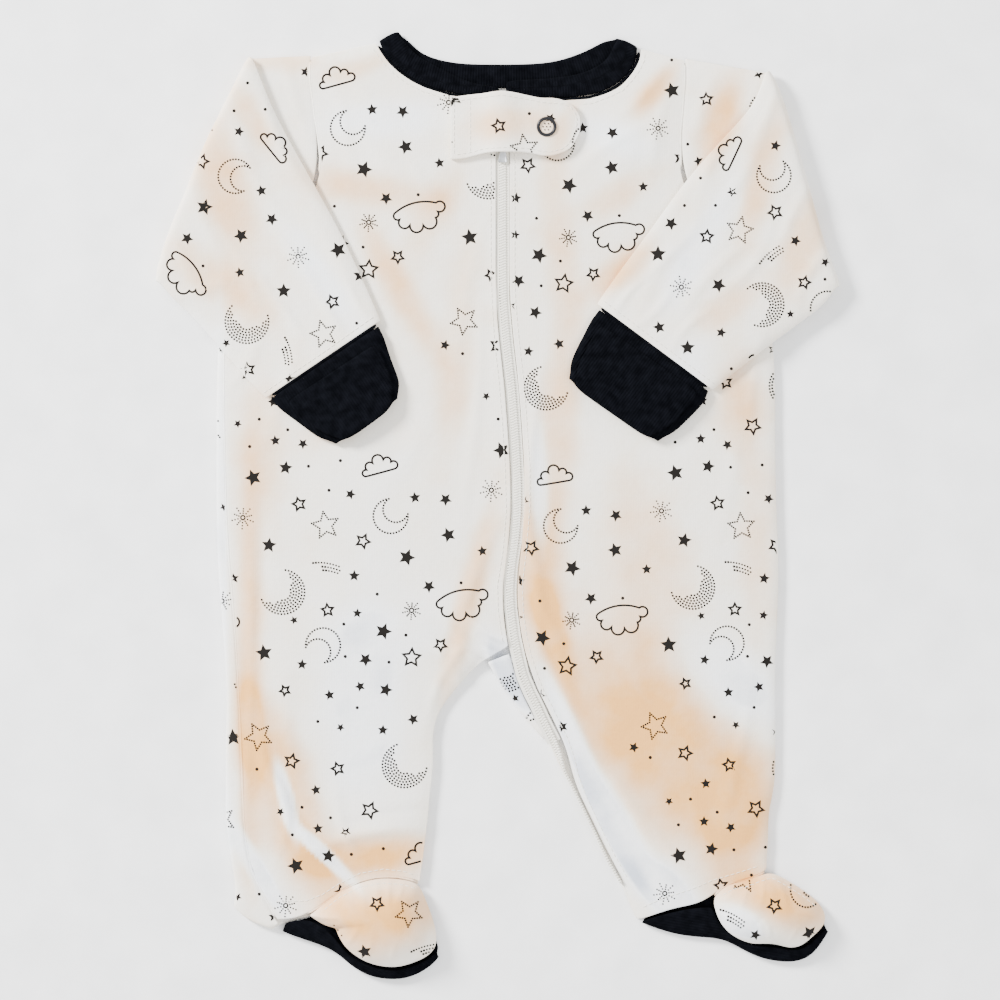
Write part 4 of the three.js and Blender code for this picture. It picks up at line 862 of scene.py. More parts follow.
def jersey_material(cloth):
    """Printed jersey: mottled off-white knit with a soft nap, coloured with painted warm shade, cool light
    and deep shade.
    """
    material, shader, links, add = material_start("jersey_knit", JERSEY_ROUGHNESS)
    shader.inputs["Sheen Weight"].default_value = JERSEY_SHEEN
    shader.inputs["Sheen Roughness"].default_value = JERSEY_SHEEN_ROUGHNESS
    shader.inputs["Specular IOR Level"].default_value = JERSEY_GLOSS
    place = add("ShaderNodeTexCoord").outputs["Object"]
    tone = add("ShaderNodeAttribute", attribute_name="tone").outputs["Fac"]
    mottle = add(
        "ShaderNodeTexNoise", [("Vector", place)], [("Scale", MOTTLE_SCALE), ("Detail", 3)]
    ).outputs["Fac"]
    uneven = add(
        "ShaderNodeMath",
        [(0, mottle)],
        [(1, MOTTLE_SPREAD), (2, -MOTTLE_SPREAD / 2)],
        operation="MULTIPLY_ADD",
    ).outputs[0]
    painted_light_and_mottle = add("ShaderNodeMath", [(0, tone), (1, uneven)], operation="ADD").outputs[0]
    # The ramp goes from painted deep shade through painted cool light and the plain jersey to painted warm
    # shade.
    ramp = add("ShaderNodeValToRGB", [("Fac", painted_light_and_mottle)])
    ramp.color_ramp.interpolation = "LINEAR"
    ramp.color_ramp.elements[0].color = (*cloth.deep_shade, 1)
    ramp.color_ramp.elements[1].color = (*cloth.warm_shade, 1)
    ramp.color_ramp.elements.new(COOL_LIGHT_STOP).color = (*cloth.cool_light, 1)
    ramp.color_ramp.elements.new(PLAIN_STOP).color = (*cloth.jersey, 1)
    grain = add(
        "ShaderNodeTexNoise", [("Vector", place)], [("Scale", GRAIN_SCALE), ("Detail", 2)]
    ).outputs["Fac"]
    shade = add(
        "ShaderNodeMapRange",
        [("Value", grain)],
        [("To Min", GRAIN_SHADES[0]), ("To Max", GRAIN_SHADES[1])],
    ).outputs[0]
    colour = add(
        "ShaderNodeMix",
        [(6, ramp.outputs["Color"]), (7, shade)],
        [(0, 1)],
        data_type="RGBA",
        blend_type="MULTIPLY",
    ).outputs[2]
    links.new(colour, shader.inputs["Base Color"])
    wander = [("Distortion", KNIT_WANDER), ("Detail", 1), ("Detail Scale", KNIT_WANDER_SCALE)]
    wales, courses = (
        add(
            "ShaderNodeTexWave",
            [("Vector", place)],
            [("Scale", scale), *wander],
            bands_direction=direction,
        ).outputs["Fac"]
        for scale, direction in ((WALE_SCALE, "X"), (COURSE_SCALE, "Y"))
    )
    knit = add("ShaderNodeMath", [(0, wales), (1, courses)], operation="MULTIPLY").outputs[0]
    nap = add(
        "ShaderNodeTexNoise", [("Vector", place)], [("Scale", NAP_SCALE), ("Detail", 4)]
    ).outputs["Fac"]
    first = add(
        "ShaderNodeBump", [("Height", knit)], [("Strength", KNIT_STRENGTH), ("Distance", KNIT_DEPTH)]
    ).outputs[0]
    second = add(
        "ShaderNodeBump",
        [("Height", nap), ("Normal", first)],
        [("Strength", NAP_STRENGTH), ("Distance", NAP_DEPTH)],
    ).outputs[0]
    links.new(second, shader.inputs["Normal"])
    return material


def rib_material(cloth):
    """Near-black rib knit with fine upright ribs and a dusty nap."""
    material, shader, links, add = material_start("rib_knit", RIB_ROUGHNESS)
    shader.inputs["Sheen Weight"].default_value = RIB_SHEEN
    shader.inputs["Sheen Roughness"].default_value = RIB_SHEEN_ROUGHNESS
    shader.inputs["Specular IOR Level"].default_value = 0
    place = add("ShaderNodeTexCoord").outputs["Object"]
    run = add("ShaderNodeAttribute", attribute_name="rib_run").outputs["Fac"]
    turns = add(
        "ShaderNodeMath", [(0, run)], [(1, 2 * math.pi / cloth.rib_pitch)], operation="MULTIPLY"
    ).outputs[0]
    ribs = add("ShaderNodeMath", [(0, turns)], operation="SINE").outputs[0]
    nap = add(
        "ShaderNodeTexNoise", [("Vector", place)], [("Scale", RIB_NAP_SCALE), ("Detail", 4)]
    ).outputs["Fac"]
    height = add(
        "ShaderNodeMath", [(0, ribs), (2, nap)], [(1, RIB_WEIGHT)], operation="MULTIPLY_ADD"
    ).outputs[0]
    bump = add(
        "ShaderNodeBump", [("Height", height)], [("Strength", RIB_STRENGTH), ("Distance", RIB_DEPTH)]
    ).outputs[0]
    links.new(bump, shader.inputs["Normal"])
    lint = add(
        "ShaderNodeTexNoise", [("Vector", place)], [("Scale", LINT_SCALE), ("Detail", 5)]
    ).outputs["Fac"]
    ramp = add("ShaderNodeValToRGB", [("Fac", lint)])
    for element, stop, shade in zip(ramp.color_ramp.elements, LINT_STOPS, LINT_SHADES):
        element.position = stop
        element.color = (*[value * shade for value in cloth.rib], 1)
    links.new(ramp.outputs["Color"], shader.inputs["Base Color"])
    return material


def grained_material(name, colour, roughness, scale, depth, metallic=0.0):
    """Plain finish with a fine grain in its shade and surface."""
    material, shader, links, add = material_start(name, roughness)
    shader.inputs["Metallic"].default_value = metallic
    shader.inputs["Specular IOR Level"].default_value = GRAIN_GLOSS
    place = add("ShaderNodeTexCoord").outputs["Object"]
    grain = add(
        "ShaderNodeTexNoise", [("Vector", place)], [("Scale", scale), ("Detail", 3)]
    ).outputs["Fac"]
    ramp = add("ShaderNodeValToRGB", [("Fac", grain)])
    for element, stop, shade in zip(ramp.color_ramp.elements, GRAIN_STOPS, GRAIN_SHADES):
        element.position = stop
        element.color = (*[min(1, value * shade) for value in colour], 1)
    links.new(ramp.outputs["Color"], shader.inputs["Base Color"])
    bump = add(
        "ShaderNodeBump", [("Height", grain)], [("Strength", GRAIN_STRENGTH), ("Distance", depth)]
    ).outputs[0]
    links.new(bump, shader.inputs["Normal"])
    return material


def finish_piece(piece, material, nodes=()):
    """Gives a piece its material, slot and body, and hides the solids that it stands for."""
    piece.data.materials.clear()
    piece.data.materials.append(material)
    if nodes:
        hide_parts(*nodes)
    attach(piece, BODY)


def arc_points(start, end, bulge, step):
    """Points of a round arc from one cusp to the next, without the last."""
    (ax, ay), (bx, by) = start, end
    chord = math.hypot(bx - ax, by - ay)
    count = max(2, math.ceil(chord * (1 + bulge) / step))
    rise = max(bulge, 0.001) * chord
    radius = (chord**2 / 4 + rise**2) / (2 * rise)
    half = math.asin(min(1, chord / 2 / radius))
    if rise > radius:
        half = math.pi - half
    made = []
    for i in range(count):
        angle = half * (2 * i / count - 1)
        along = chord / 2 + radius * math.sin(angle)
        out = radius * math.cos(angle) - (radius - rise)
        made.append(
            (
                ax + (bx - ax) / chord * along - (by - ay) / chord * out,
                ay + (by - ay) / chord * along + (bx - ax) / chord * out,
            )
        )
    return made


def star_corners(radius, turn, inner, u, v):
    """Ten corners of a five-pointed star."""
    corners = []
    for i in range(10):
        reach = radius if i % 2 == 0 else radius * inner
        angle = math.radians(turn + 90 + 36 * i)
        corners.append((u + reach * math.cos(angle), v + reach * math.sin(angle)))
    return corners


def walk(corners, step, closed=True):
    """Points at about even steps along a line through corners."""
    ends = corners[1:] + (corners[:1] if closed else [])
    made = []
    for (ax, ay), (bx, by) in zip(corners, ends):
        count = max(1, round(math.hypot(bx - ax, by - ay) / step))
        made += [(ax + (bx - ax) * i / count, ay + (by - ay) * i / count) for i in range(count)]
    if not closed:
        made.append(corners[-1])
    return made


class Ink:
    """Flat patches of print in the repeat's own millimetres."""

    def __init__(self, settings):
        self.line = settings.line / MM
        self.fine = settings.dot / MM
        self.big = settings.big_dot / MM
        self.patches = []

    def dot(self, u, v, radius=None, sides=6):
        reach = radius or self.fine
        angles = [2 * math.pi * i / sides for i in range(sides)]
        points = [(u + reach * math.cos(a), v + reach * math.sin(a)) for a in angles]
        self.patches.append((points, [tuple(range(sides))]))

    def dots(self, places):
        for u, v in places:
            self.dot(u, v)

    def star(self, u, v, radius, turn):
        rim = walk(star_corners(radius, turn, STAR_WAIST, u, v), INK_STEP)
        points = [(u, v)]
        faces = []
        rings = max(2, round(radius / INK_STEP))
        count = len(rim)
        for ring in range(1, rings + 1):
            share = ring / rings
            points += [(u + (x - u) * share, v + (y - v) * share) for x, y in rim]
        for i in range(count):
            following = (i + 1) % count
            faces.append((0, 1 + i, 1 + following))
            for ring in range(rings - 1):
                low = 1 + ring * count
                high = low + count
                faces.append((low + i, high + i, high + following, low + following))
        self.patches.append((points, faces))

    def outline(self, rim):
        """Closed line of even width."""
        count = len(rim)
        points = []
        for i in range(count):
            before = Vector(rim[i - 1])
            here = Vector(rim[i])
            after = Vector(rim[(i + 1) % count])
            first = (here - before).normalized()
            second = (after - here).normalized()
            lean = first + second
            lean = lean.normalized() if lean.length > 0.2 else second
            side = Vector((-lean.y, lean.x))
            wide = self.line / 2 / max(0.45, abs(lean.dot(second)))
            points += [tuple(here + side * wide), tuple(here - side * wide)]
        faces = []
        for i in range(count):
            following = (i + 1) % count
            faces.append((2 * i + 1, 2 * following + 1, 2 * following, 2 * i))
        self.patches.append((points, faces))

    def moon(self, u, v, opening, shape, filled):
        """Crescent of dots, open towards a direction: an outline, or full of rows of dots."""
        radius, bite, depth, spacing = shape
        offset = radius * depth
        inner = radius * bite
        cut = (offset**2 + radius**2 - inner**2) / (2 * offset)
        outer_tip = math.acos(cut / radius)
        inner_tip = math.acos((cut - offset) / inner)

        def arc(centre, reach, tip):
            count = max(3, round(reach * (2 * math.pi - 2 * tip) / spacing))
            for i in range(count + 1):
                angle = tip + (2 * math.pi - 2 * tip) * i / count
                yield centre + reach * math.cos(angle), reach * math.sin(angle)

        places = list(arc(0, radius, outer_tip))
        if filled:
            reach = radius - spacing * MOON_ROW_STEP
            while reach > radius * MOON_INNERMOST:
                for along, across in arc(0, reach, outer_tip * MOON_ROW_TIP):
                    if math.hypot(along - offset, across) > inner - MOON_BITE_SLACK:
                        places.append((along, across))
                reach -= spacing * MOON_ROW_STEP
        else:
            places += list(arc(offset, inner, inner_tip))[1:-1]
        angle = math.radians(opening)
        for along, across in places:
            self.dot(
                u + along * math.cos(angle) - across * math.sin(angle),
                v + along * math.sin(angle) + across * math.cos(angle),
                self.fine * MOON_DOT,
            )

    def burst(self, u, v, radius):
        """Ten rays of fine dots, every second one longer."""
        for ray in range(BURST_RAYS):
            angle = math.radians(360 / BURST_RAYS * ray + BURST_TURN)
            reach = radius if ray % 2 else radius * BURST_SHORT_RAY
            for i in range(BURST_DOTS):
                out = 1 + (reach - 1) * i / (BURST_DOTS - 1)
                self.dot(u + out * math.cos(angle), v + out * math.sin(angle), self.fine * BURST_DOT)

    def comet(self, u, v):
        """Three bowed rows of dots that trail from a small star."""
        head, swell = COMET_HEAD
        for row, (start, count, drop) in enumerate(COMET_ROWS):
            for i in range(count):
                along = start + COMET_STEP * i
                fall = COMET_FALL * (along + COMET_TOP) ** 2
                girth = self.fine * (swell if i < head else 1)
                self.dot(u + along, v + drop + 1 - fall - COMET_ROW_DROP * row, girth)


def print_repeat(settings):
    """All motifs of one repeat."""
    ink = Ink(settings)
    for i, (u, v, radius) in enumerate(STARS):
        ink.star(u, v, radius * STAR_WEIGHT, (i * 29) % 72)
    for i, (u, v, radius) in enumerate(OUTLINE_STARS):
        turn = (i * 31 + 10) % 72
        corners = star_corners(radius - ink.line / 2, turn, OUTLINE_STAR_WAIST, u, v)
        ink.outline(walk(corners, INK_STEP))
    for i, (u, v, radius) in enumerate(DOTTED_STARS):
        ink.dots(walk(star_corners(radius, 4 + 18 * i, STAR_WAIST, u, v), DOTTED_STAR_STEP))
    for u, v, opening in DOTTED_MOONS:
        ink.moon(u, v, opening, DOTTED_MOON_SHAPE, False)
    for u, v, opening in FULL_MOONS:
        ink.moon(u, v, opening, FULL_MOON_SHAPE, True)
    for u, v, radius in BURSTS:
        ink.burst(u, v, radius)
    for u, v in COMETS:
        ink.comet(u, v)
    for u, v in DOTS:
        ink.dot(u, v, ink.big, 8)
    for (u, v, turn), cusps in ((CLOUD_PLACE, CLOUD_OUTLINE), (LOW_CLOUD_PLACE, LOW_CLOUD_OUTLINE)):
        angle = math.radians(turn)
        rim = []
        for i, (x, y, bulge) in enumerate(cusps):
            following = cusps[(i + 1) % len(cusps)]
            rim += arc_points((x, y), following[:2], bulge, CLOUD_STEP)
        turned = [
            (u + x * math.cos(angle) - y * math.sin(angle), v + x * math.sin(angle) + y * math.cos(angle))
            for x, y in rim
        ]
        ink.outline(turned)
    return ink.patches


def surface_tree(piece):
    """Search tree of a piece's faces, in millimetres."""
    mesh = piece.data
    return BVHTree.FromPolygons(
        [tuple(point) for point in positions(mesh)],
        [tuple(polygon.vertices) for polygon in mesh.polygons],
    )


def drop_on(tree, x, y, side, lift):
    """Place on a surface under (side 1) or over (side -1) a point, with the surface's direction."""
    start = Vector((x, y, side * CAST_HEIGHT))
    hit, normal, _, _ = tree.ray_cast(start, Vector((0, 0, -side)))
    if hit is None:
        return None
    if normal.z * side < 0:
        normal = -normal
    if normal.z * side < FACING_LIMIT:
        return None
    return hit + normal * lift, normal


def print_on(piece, name, places, patches, settings):
    """Lays the repeat over a piece, cut off where the cloth ends."""
    tree = surface_tree(piece)
    corners = positions(piece.data)
    low = corners.min(0)
    high = corners.max(0)
    wide = settings.repeat_width / MM
    tall = settings.repeat_height / MM
    points = []
    faces = []
    for _, origin_x, origin_y, turn, scale, band_low, band_high, side in places:
        angle = math.radians(turn)
        cos, sin = math.cos(angle) * scale, math.sin(angle) * scale
        reach = math.hypot(*(high - low)[:2]) + math.hypot(wide, tall)
        steps_u = math.ceil(reach / wide) + 1
        steps_v = math.ceil(reach / tall) + 1
        for i in range(-steps_u, steps_u + 1):
            for j in range(-steps_v, steps_v + 1):
                for flat, patch_faces in patches:
                    u = flat[0][0] + i * wide
                    v = flat[0][1] + j * tall
                    x = origin_x + u * cos - v * sin
                    y = origin_y + u * sin + v * cos
                    if not (low[0] - 20 < x < high[0] + 20 and low[1] - 20 < y < high[1] + 20):
                        continue
                    placed = {}
                    for k, (pu, pv) in enumerate(flat):
                        u = pu + i * wide
                        v = pv + j * tall
                        found = drop_on(
                            tree,
                            origin_x + u * cos - v * sin,
                            origin_y + u * sin + v * cos,
                            side,
                            INK_LIFT,
                        )
                        if found and band_low <= found[0].z < band_high:
                            placed[k] = len(points)
                            points.append(tuple(found[0]))
                    for face in patch_faces:
                        if all(k in placed for k in face):
                            ordered = face if side > 0 else tuple(reversed(face))
                            faces.append(tuple(placed[k] for k in ordered))
    used = sorted({k for face in faces for k in face})
    renumbered = {k: i for i, k in enumerate(used)}
    return new_object(
        name,
        [points[k] for k in used],
        [tuple(renumbered[k] for k in face) for face in faces],
    )


def close_tube(faces, first, rings, sides):
    """Joins rings of points into a tube with closed ends."""
    for ring in range(rings - 1):
        for step in range(sides):
            a = first + ring * sides + step
            b = first + ring * sides + (step + 1) % sides
            faces.append((a, b, b + sides, a + sides))
    faces.append(tuple(first + step for step in reversed(range(sides))))
    last = first + (rings - 1) * sides
    faces.append(tuple(last + step for step in range(sides)))


def stitch_bar(points, faces, middle, along, up, length):
    """Adds one rounded stitch to lists of points and faces."""
    across = up.cross(along).normalized()
    rise = along.cross(across).normalized()
    first = len(points)
    for share, girth in STITCH_SECTIONS:
        for step in range(STITCH_SIDES):
            angle = 2 * math.pi / STITCH_SIDES * step
            side = across * (math.cos(angle) * STITCH_HALF_WIDTH * girth)
            height = rise * (math.sin(angle) * STITCH_HALF_WIDTH * girth * STITCH_FLATNESS)
            points.append(tuple(middle + along * (share * length) + side + height))
    close_tube(faces, first, len(STITCH_SECTIONS), STITCH_SIDES)


def roll(name, path, heights, radius):
    """Makes a closed tube through points, with tapered ends."""
    sides = ROLL_SIDES
    points = []
    faces = []
    count = len(path)
    for i, ((x, y), z) in enumerate(zip(path, heights)):
        before = path[max(0, i - 1)]
        after = path[min(count - 1, i + 1)]
        along = Vector((after[0] - before[0], after[1] - before[1], 0)).normalized()
        across = Vector((-along.y, along.x, 0))
        girth = radius * (ROLL_END if i in (0, count - 1) else 1)
        for step in range(sides):
            angle = 2 * math.pi * step / sides
            side = across * (math.cos(angle) * girth)
            points.append((x + side.x, y + side.y, z + math.sin(angle) * girth))
    for ring in range(count - 1):
        for step in range(sides):
            a = ring * sides + step
            b = ring * sides + (step + 1) % sides
            faces.append((a, a + sides, b + sides, b))
    faces.append(tuple(range(sides)))
    faces.append(tuple((count - 1) * sides + step for step in reversed(range(sides))))
    return new_object(name, points, faces)


def even_path(path, pitch):
    """Middles and directions at an even pitch along a path of points."""
    passed = 0
    wanted = pitch / 2
    made = []
    for start, end in zip(path, path[1:]):
        step = Vector(end) - Vector(start)
        while wanted <= passed + step.length:
            made.append((Vector(start) + step * ((wanted - passed) / step.length), step.normalized()))
            wanted += pitch
        passed += step.length
    return made


def zip_places(pitch):
    """Places along the zip at an even pitch: position, direction and turn."""
    flat = [(x, y) for x, y, _ in ZIP_LINE]
    distances = [0]
    for start, end in zip(flat, flat[1:]):
        distances.append(distances[-1] + math.dist(start, end))
    wanted = np.arange(pitch / 2, distances[-1], pitch)
    xs = np.interp(wanted, distances, [row[0] for row in ZIP_LINE])
    ys = np.interp(wanted, distances, [row[1] for row in ZIP_LINE])
    turns = np.interp(wanted, distances, [row[2] for row in ZIP_LINE])
    made = []
    for i, (x, y, turn) in enumerate(zip(xs, ys, turns)):
        j = min(max(i, 1), len(xs) - 2)
        along = Vector((xs[j + 1] - xs[j - 1], ys[j + 1] - ys[j - 1], 0)).normalized()
        made.append((x, y, along, math.radians(turn)))
    return made


def garment_materials():
    """Finishes that the pieces share, made once."""
    scene = bpy.context.scene
    if "jersey_knit" not in bpy.data.materials:
        jersey_material(scene.sleepsuit_cloth)
        rib_material(scene.sleepsuit_cloth)
        grained_material("print_ink_finish", scene.sleepsuit_print.ink, 0.9, 1400, 0.00008)
        grained_material("zip_nylon_finish", scene.sleepsuit_zip.nylon, 0.45, 800, 0.00005)
        grained_material("zip_tape_finish", scene.sleepsuit_zip.nylon, 0.85, 1500, 0.00015)
        grained_material("thread_finish", scene.sleepsuit_zip.thread, 0.75, 2500, 0.0001)
        grained_material("steel_finish", STEEL, 0.32, 1800, 0.00003, 1.0)
        grained_material("enamel_finish", ENAMEL, 0.3, 600, 0.00002)
    return bpy.data.materials


class SLEEPSUIT_OT_body(bpy.types.Operator):
    """Makes the back and the two fronts."""

    bl_idname = "sleepsuit.body"
    bl_label = "Body"

    def execute(self, context):
        cloth = context.scene.sleepsuit_cloth
        parts = (
            ("back_panel", "back", cloth.small_levels, "laid"),
            ("front_right_panel", "front_right", cloth.panel_levels, "laid"),
            ("front_left_panel", "front_left", cloth.panel_levels, "laid"),
        )
        for node, name, levels, held in parts:
            piece = smooth_copy(node, name, levels)
            set_positions(piece.data, lift_layers(positions(piece.data)))
            set_painted_light(piece.data)
            finish_piece(piece, garment_materials()["jersey_knit"], [node])
        return {"FINISHED"}


class SLEEPSUIT_OT_sleeves(bpy.types.Operator):
    """Makes the folded sleeves."""

    bl_idname = "sleepsuit.sleeves"
    bl_label = "Sleeves"

    def execute(self, context):
        for side in ("right", "left"):
            node = f"sleeve_{side}"
            piece = smooth_copy(node, f"sleeve_piece_{side}", context.scene.sleepsuit_cloth.panel_levels)
            points = lift_layers(positions(piece.data))
            set_positions(piece.data, add_ridges(points, SLEEVE_CREASES, *SLEEVE_FADE))
            set_painted_light(piece.data)
            finish_piece(piece, garment_materials()["jersey_knit"], [node])
        return {"FINISHED"}


class SLEEPSUIT_OT_rib_trim(bpy.types.Operator):
    """Makes the cuffs, their turned layers, the neck binding and the soles."""

    bl_idname = "sleepsuit.rib_trim"
    bl_label = "Rib trim"

    def execute(self, context):
        levels = context.scene.sleepsuit_cloth.small_levels
        for side, turn in RIB_TURNS.items():
            for node, name in (("cuff", "cuff_piece"), ("cuff_flap", "cuff_turn")):
                piece = smooth_copy(f"{node}_{side}", f"{name}_{side}", 3, SOFT_RIM)
                points = round_corners(lift_layers(positions(piece.data)))
                set_positions(piece.data, add_ridges(points, CUFF_CREASES, *CUFF_FADE))
                across, _ = along_and_across(positions(piece.data), 0, 0, turn)
                set_rib_run(piece.data, across)
                self.finish_rib(piece, f"{node}_{side}", "folded", [f"front_{side}"])
            piece = smooth_copy(f"sole_{side}", f"sole_piece_{side}", levels)
            run, _ = along_and_across(positions(piece.data), 0, 0, SOLE_TURNS[side])
            set_rib_run(piece.data, run)
            self.finish_rib(piece, f"sole_{side}", "laid", [])
        piece = smooth_copy("neck_rib", "neck_binding", levels, SOFT_RIM)
        set_positions(piece.data, round_corners(lift_layers(positions(piece.data))))
        set_rib_run(piece.data, distance_along(positions(piece.data), NECK_SEAM))
        self.finish_rib(piece, "neck_rib", "laid", ["back"])
        return {"FINISHED"}

    def finish_rib(self, piece, node, held, rests_on):
        finish_piece(piece, garment_materials()["rib_knit"], [node])


class SLEEPSUIT_OT_feet(bpy.types.Operator):
    """Makes the domed toe pieces with their gathers."""

    bl_idname = "sleepsuit.feet"
    bl_label = "Feet"

    def execute(self, context):
        for side in ("right", "left"):
            node = f"foot_{side}"
            piece = smooth_copy(node, f"toe_piece_{side}", context.scene.sleepsuit_cloth.panel_levels)
            points = positions(piece.data)
            points[:, 2] += cloth_waves(points)
            set_positions(piece.data, add_ridges(points, TOE_CREASES, *TOE_FADE))
            set_painted_light(piece.data)
            finish_piece(piece, garment_materials()["jersey_knit"], [node])
        return {"FINISHED"}


class SLEEPSUIT_OT_zip(bpy.types.Operator):
    """Makes the zip's tapes, coil, slider and pull, all along the zip line."""

    bl_idname = "sleepsuit.zip"
    bl_label = "Zip"

    def execute(self, context):
        materials = garment_materials()
        core = smooth_copy("zip_coil", "zip_core", 2)
        set_positions(core.data, lift_layers(positions(core.data)))
        tree = surface_tree(core)
        for side, way in (("right", -1), ("left", 1)):
            strip = self.make_tape_strip(tree, f"zip_tape_strip_{side}", way)
            finish_piece(strip, materials["zip_tape_finish"])
            node = f"zip_tape_{side}"
            piece = smooth_copy(node, f"zip_tape_edge_{side}", 2)
            set_positions(piece.data, lift_layers(positions(piece.data)))
            finish_piece(piece, materials["zip_tape_finish"], [node])
        self.flatten_core(core)
        finish_piece(core, materials["zip_nylon_finish"], ["zip_coil"])
        teeth = self.make_teeth(tree, context.scene.sleepsuit_zip.tooth_pitch / MM)
        finish_piece(teeth, materials["zip_nylon_finish"])
        self.make_slider(materials["steel_finish"])
        return {"FINISHED"}

    def make_tape_strip(self, tree, name, way):
        """Narrow tape beside the coil, down to where the zip turns on edge."""
        points = []
        for x, y, along, turn in zip_places(TAPE_STRIP_PITCH):
            if y > TAPE_STRIP_START or turn > TAPE_STRIP_TURN:
                continue
            middle = tree.ray_cast(Vector((x, y, CAST_HEIGHT)), Vector((0, 0, -1)))[0]
            if middle is None:
                continue
            height = middle.z - TAPE_STRIP_DROP
            far = float(np.interp(y, TAPE_STRIP_Y, TAPE_STRIP_REACH))
            for reach, rise in (
                (TAPE_STRIP_INSIDE, TAPE_STRIP_RISE),
                (far, TAPE_STRIP_RISE),
                (far, TAPE_STRIP_FALL),
                (TAPE_STRIP_INSIDE, TAPE_STRIP_FALL),
            ):
                points.append((x - along.y * way * reach, y + along.x * way * reach, height + rise))
        rows = len(points) // 4
        faces = []
        for i in range(rows - 1):
            for k in range(4):
                other = (k + 1) % 4
                faces.append((4 * i + k, 4 * i + other, 4 * i + 4 + other, 4 * i + 4 + k))
        faces += [(3, 2, 1, 0), (4 * rows - 4, 4 * rows - 3, 4 * rows - 2, 4 * rows - 1)]
        return new_object(name, points, faces, smooth=False)

    def flatten_core(self, core):
        """Thins the band that the coil's turns stand on, towards its own middle."""
        mesh = core.data
        normals = np.empty(len(mesh.vertices) * 3, np.float32)
        mesh.vertices.foreach_get("normal", normals)
        set_positions(mesh, positions(mesh) - normals.reshape(-1, 3) * CORE_THINNING)

    def make_teeth(self, tree, pitch):
        points = []
        faces = []
        for i, (x, y, along, turn) in enumerate(zip_places(pitch / 2)):
            top = tree.ray_cast(Vector((x, y, CAST_HEIGHT)), Vector((0, 0, -1)))[0]
            bottom = tree.ray_cast(Vector((x, y, -CAST_HEIGHT)), Vector((0, 0, 1)))[0]
            if top is None or bottom is None:
                continue
            middle = (top + bottom) / 2
            flat_across = Vector((-along.y, along.x, 0))
            across = flat_across * math.cos(turn) + Vector((0, 0, math.sin(turn)))
            side = 1 if i % 2 else -1
            centre = middle + across * (side * COIL_HALF_WIDTH * COIL_OFFSET)
            self.add_tooth(points, faces, centre, across, along, pitch)
        return new_object("zip_teeth", points, faces)

    def add_tooth(self, points, faces, centre, across, along, pitch):
        """Adds one rounded turn of the coil, lying across the zip."""
        up = across.cross(along).normalized()
        if up.z < 0:
            up = -up
        first = len(points)
        for share, girth in COIL_SECTIONS:
            middle = centre + across * (share * COIL_HALF_WIDTH * COIL_REACH)
            for step in range(COIL_SIDES):
                angle = 2 * math.pi * step / COIL_SIDES
                thick = along * (math.cos(angle) * pitch * COIL_GIRTH * girth)
                high = up * (math.sin(angle) * COIL_HEIGHT * girth)
                points.append(tuple(middle + thick + high))
        close_tube(faces, first, len(COIL_SECTIONS), COIL_SIDES)

    def make_slider(self, steel):
        """Rounds the slider and its pull."""
        for node, name, waist in (("zip_slider", "slider", SLIDER_WAIST), ("zip_pull", "pull", PULL_WAIST)):
            piece = smooth_copy(node, name, 2)
            points = positions(piece.data)
            low, high = points.min(0), points.max(0)
            centre = (low + high) / 2
            share = (points[:, 1] - low[1]) / (high[1] - low[1])
            narrow = 1 - (1 - waist) * np.sin(np.pi * share) ** 2
            points[:, 0] = centre[0] + (points[:, 0] - centre[0]) * narrow
            set_positions(piece.data, points)
            finish_piece(piece, steel, [node])


class SLEEPSUIT_OT_guard_tab(bpy.types.Operator):
    """Makes the guard tab over the zip's top end, with its ring snap."""

    bl_idname = "sleepsuit.guard_tab"
    bl_label = "Guard tab"

    def execute(self, context):
        materials = garment_materials()
        piece = smooth_copy("neck_tab", "guard_tab", 3)
        set_positions(piece.data, lift_layers(positions(piece.data)))
        set_painted_light(piece.data)
        finish_piece(piece, materials["jersey_knit"], ["neck_tab"])
        self.make_ring(surface_tree(piece), materials["enamel_finish"])
        socket = smooth_copy("snap_socket", "snap_cup", 2)
        finish_piece(socket, materials["steel_finish"], ["snap_socket"])
        return {"FINISHED"}

    def make_ring(self, tree, enamel):
        """Ring with a rounded section, pressed a little into the cloth."""
        low, high = (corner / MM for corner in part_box("snap_ring"))
        centre = (low + high) / 2
        height = drop_on(tree, centre.x, centre.y, 1, 0)[0].z
        points = []
        faces = []
        for step in range(RING_SIDES):
            angle = 2 * math.pi * step / RING_SIDES
            for reach, rise in RING_SECTION:
                points.append(
                    (
                        centre.x + reach * math.cos(angle),
                        centre.y + reach * math.sin(angle),
                        height + rise - RING_SINK,
                    )
                )
        count = len(RING_SECTION)
        for step in range(RING_SIDES):
            here = step * count
            following = (step + 1) % RING_SIDES * count
            for k in range(count):
                other = (k + 1) % count
                faces.append((here + k, here + other, following + other, following + k))
        for step in range(SNAP_DOTS + 1):
            angle = 2 * math.pi * step / SNAP_DOTS
            reach = SNAP_DOT_REACH if step < SNAP_DOTS else 0
            first = len(points)
            for rise, girth in SNAP_DOT_SECTION:
                for corner in range(SNAP_DOT_SIDES):
                    turn = 2 * math.pi / SNAP_DOT_SIDES * corner
                    points.append(
                        (
                            centre.x + reach * math.cos(angle) + girth * math.cos(turn),
                            centre.y + reach * math.sin(angle) + girth * math.sin(turn),
                            height + rise,
                        )
                    )
            close_tube(faces, first, len(SNAP_DOT_SECTION), SNAP_DOT_SIDES)
        ring = new_object("snap", points, faces)
        finish_piece(ring, enamel, ["snap_ring"])


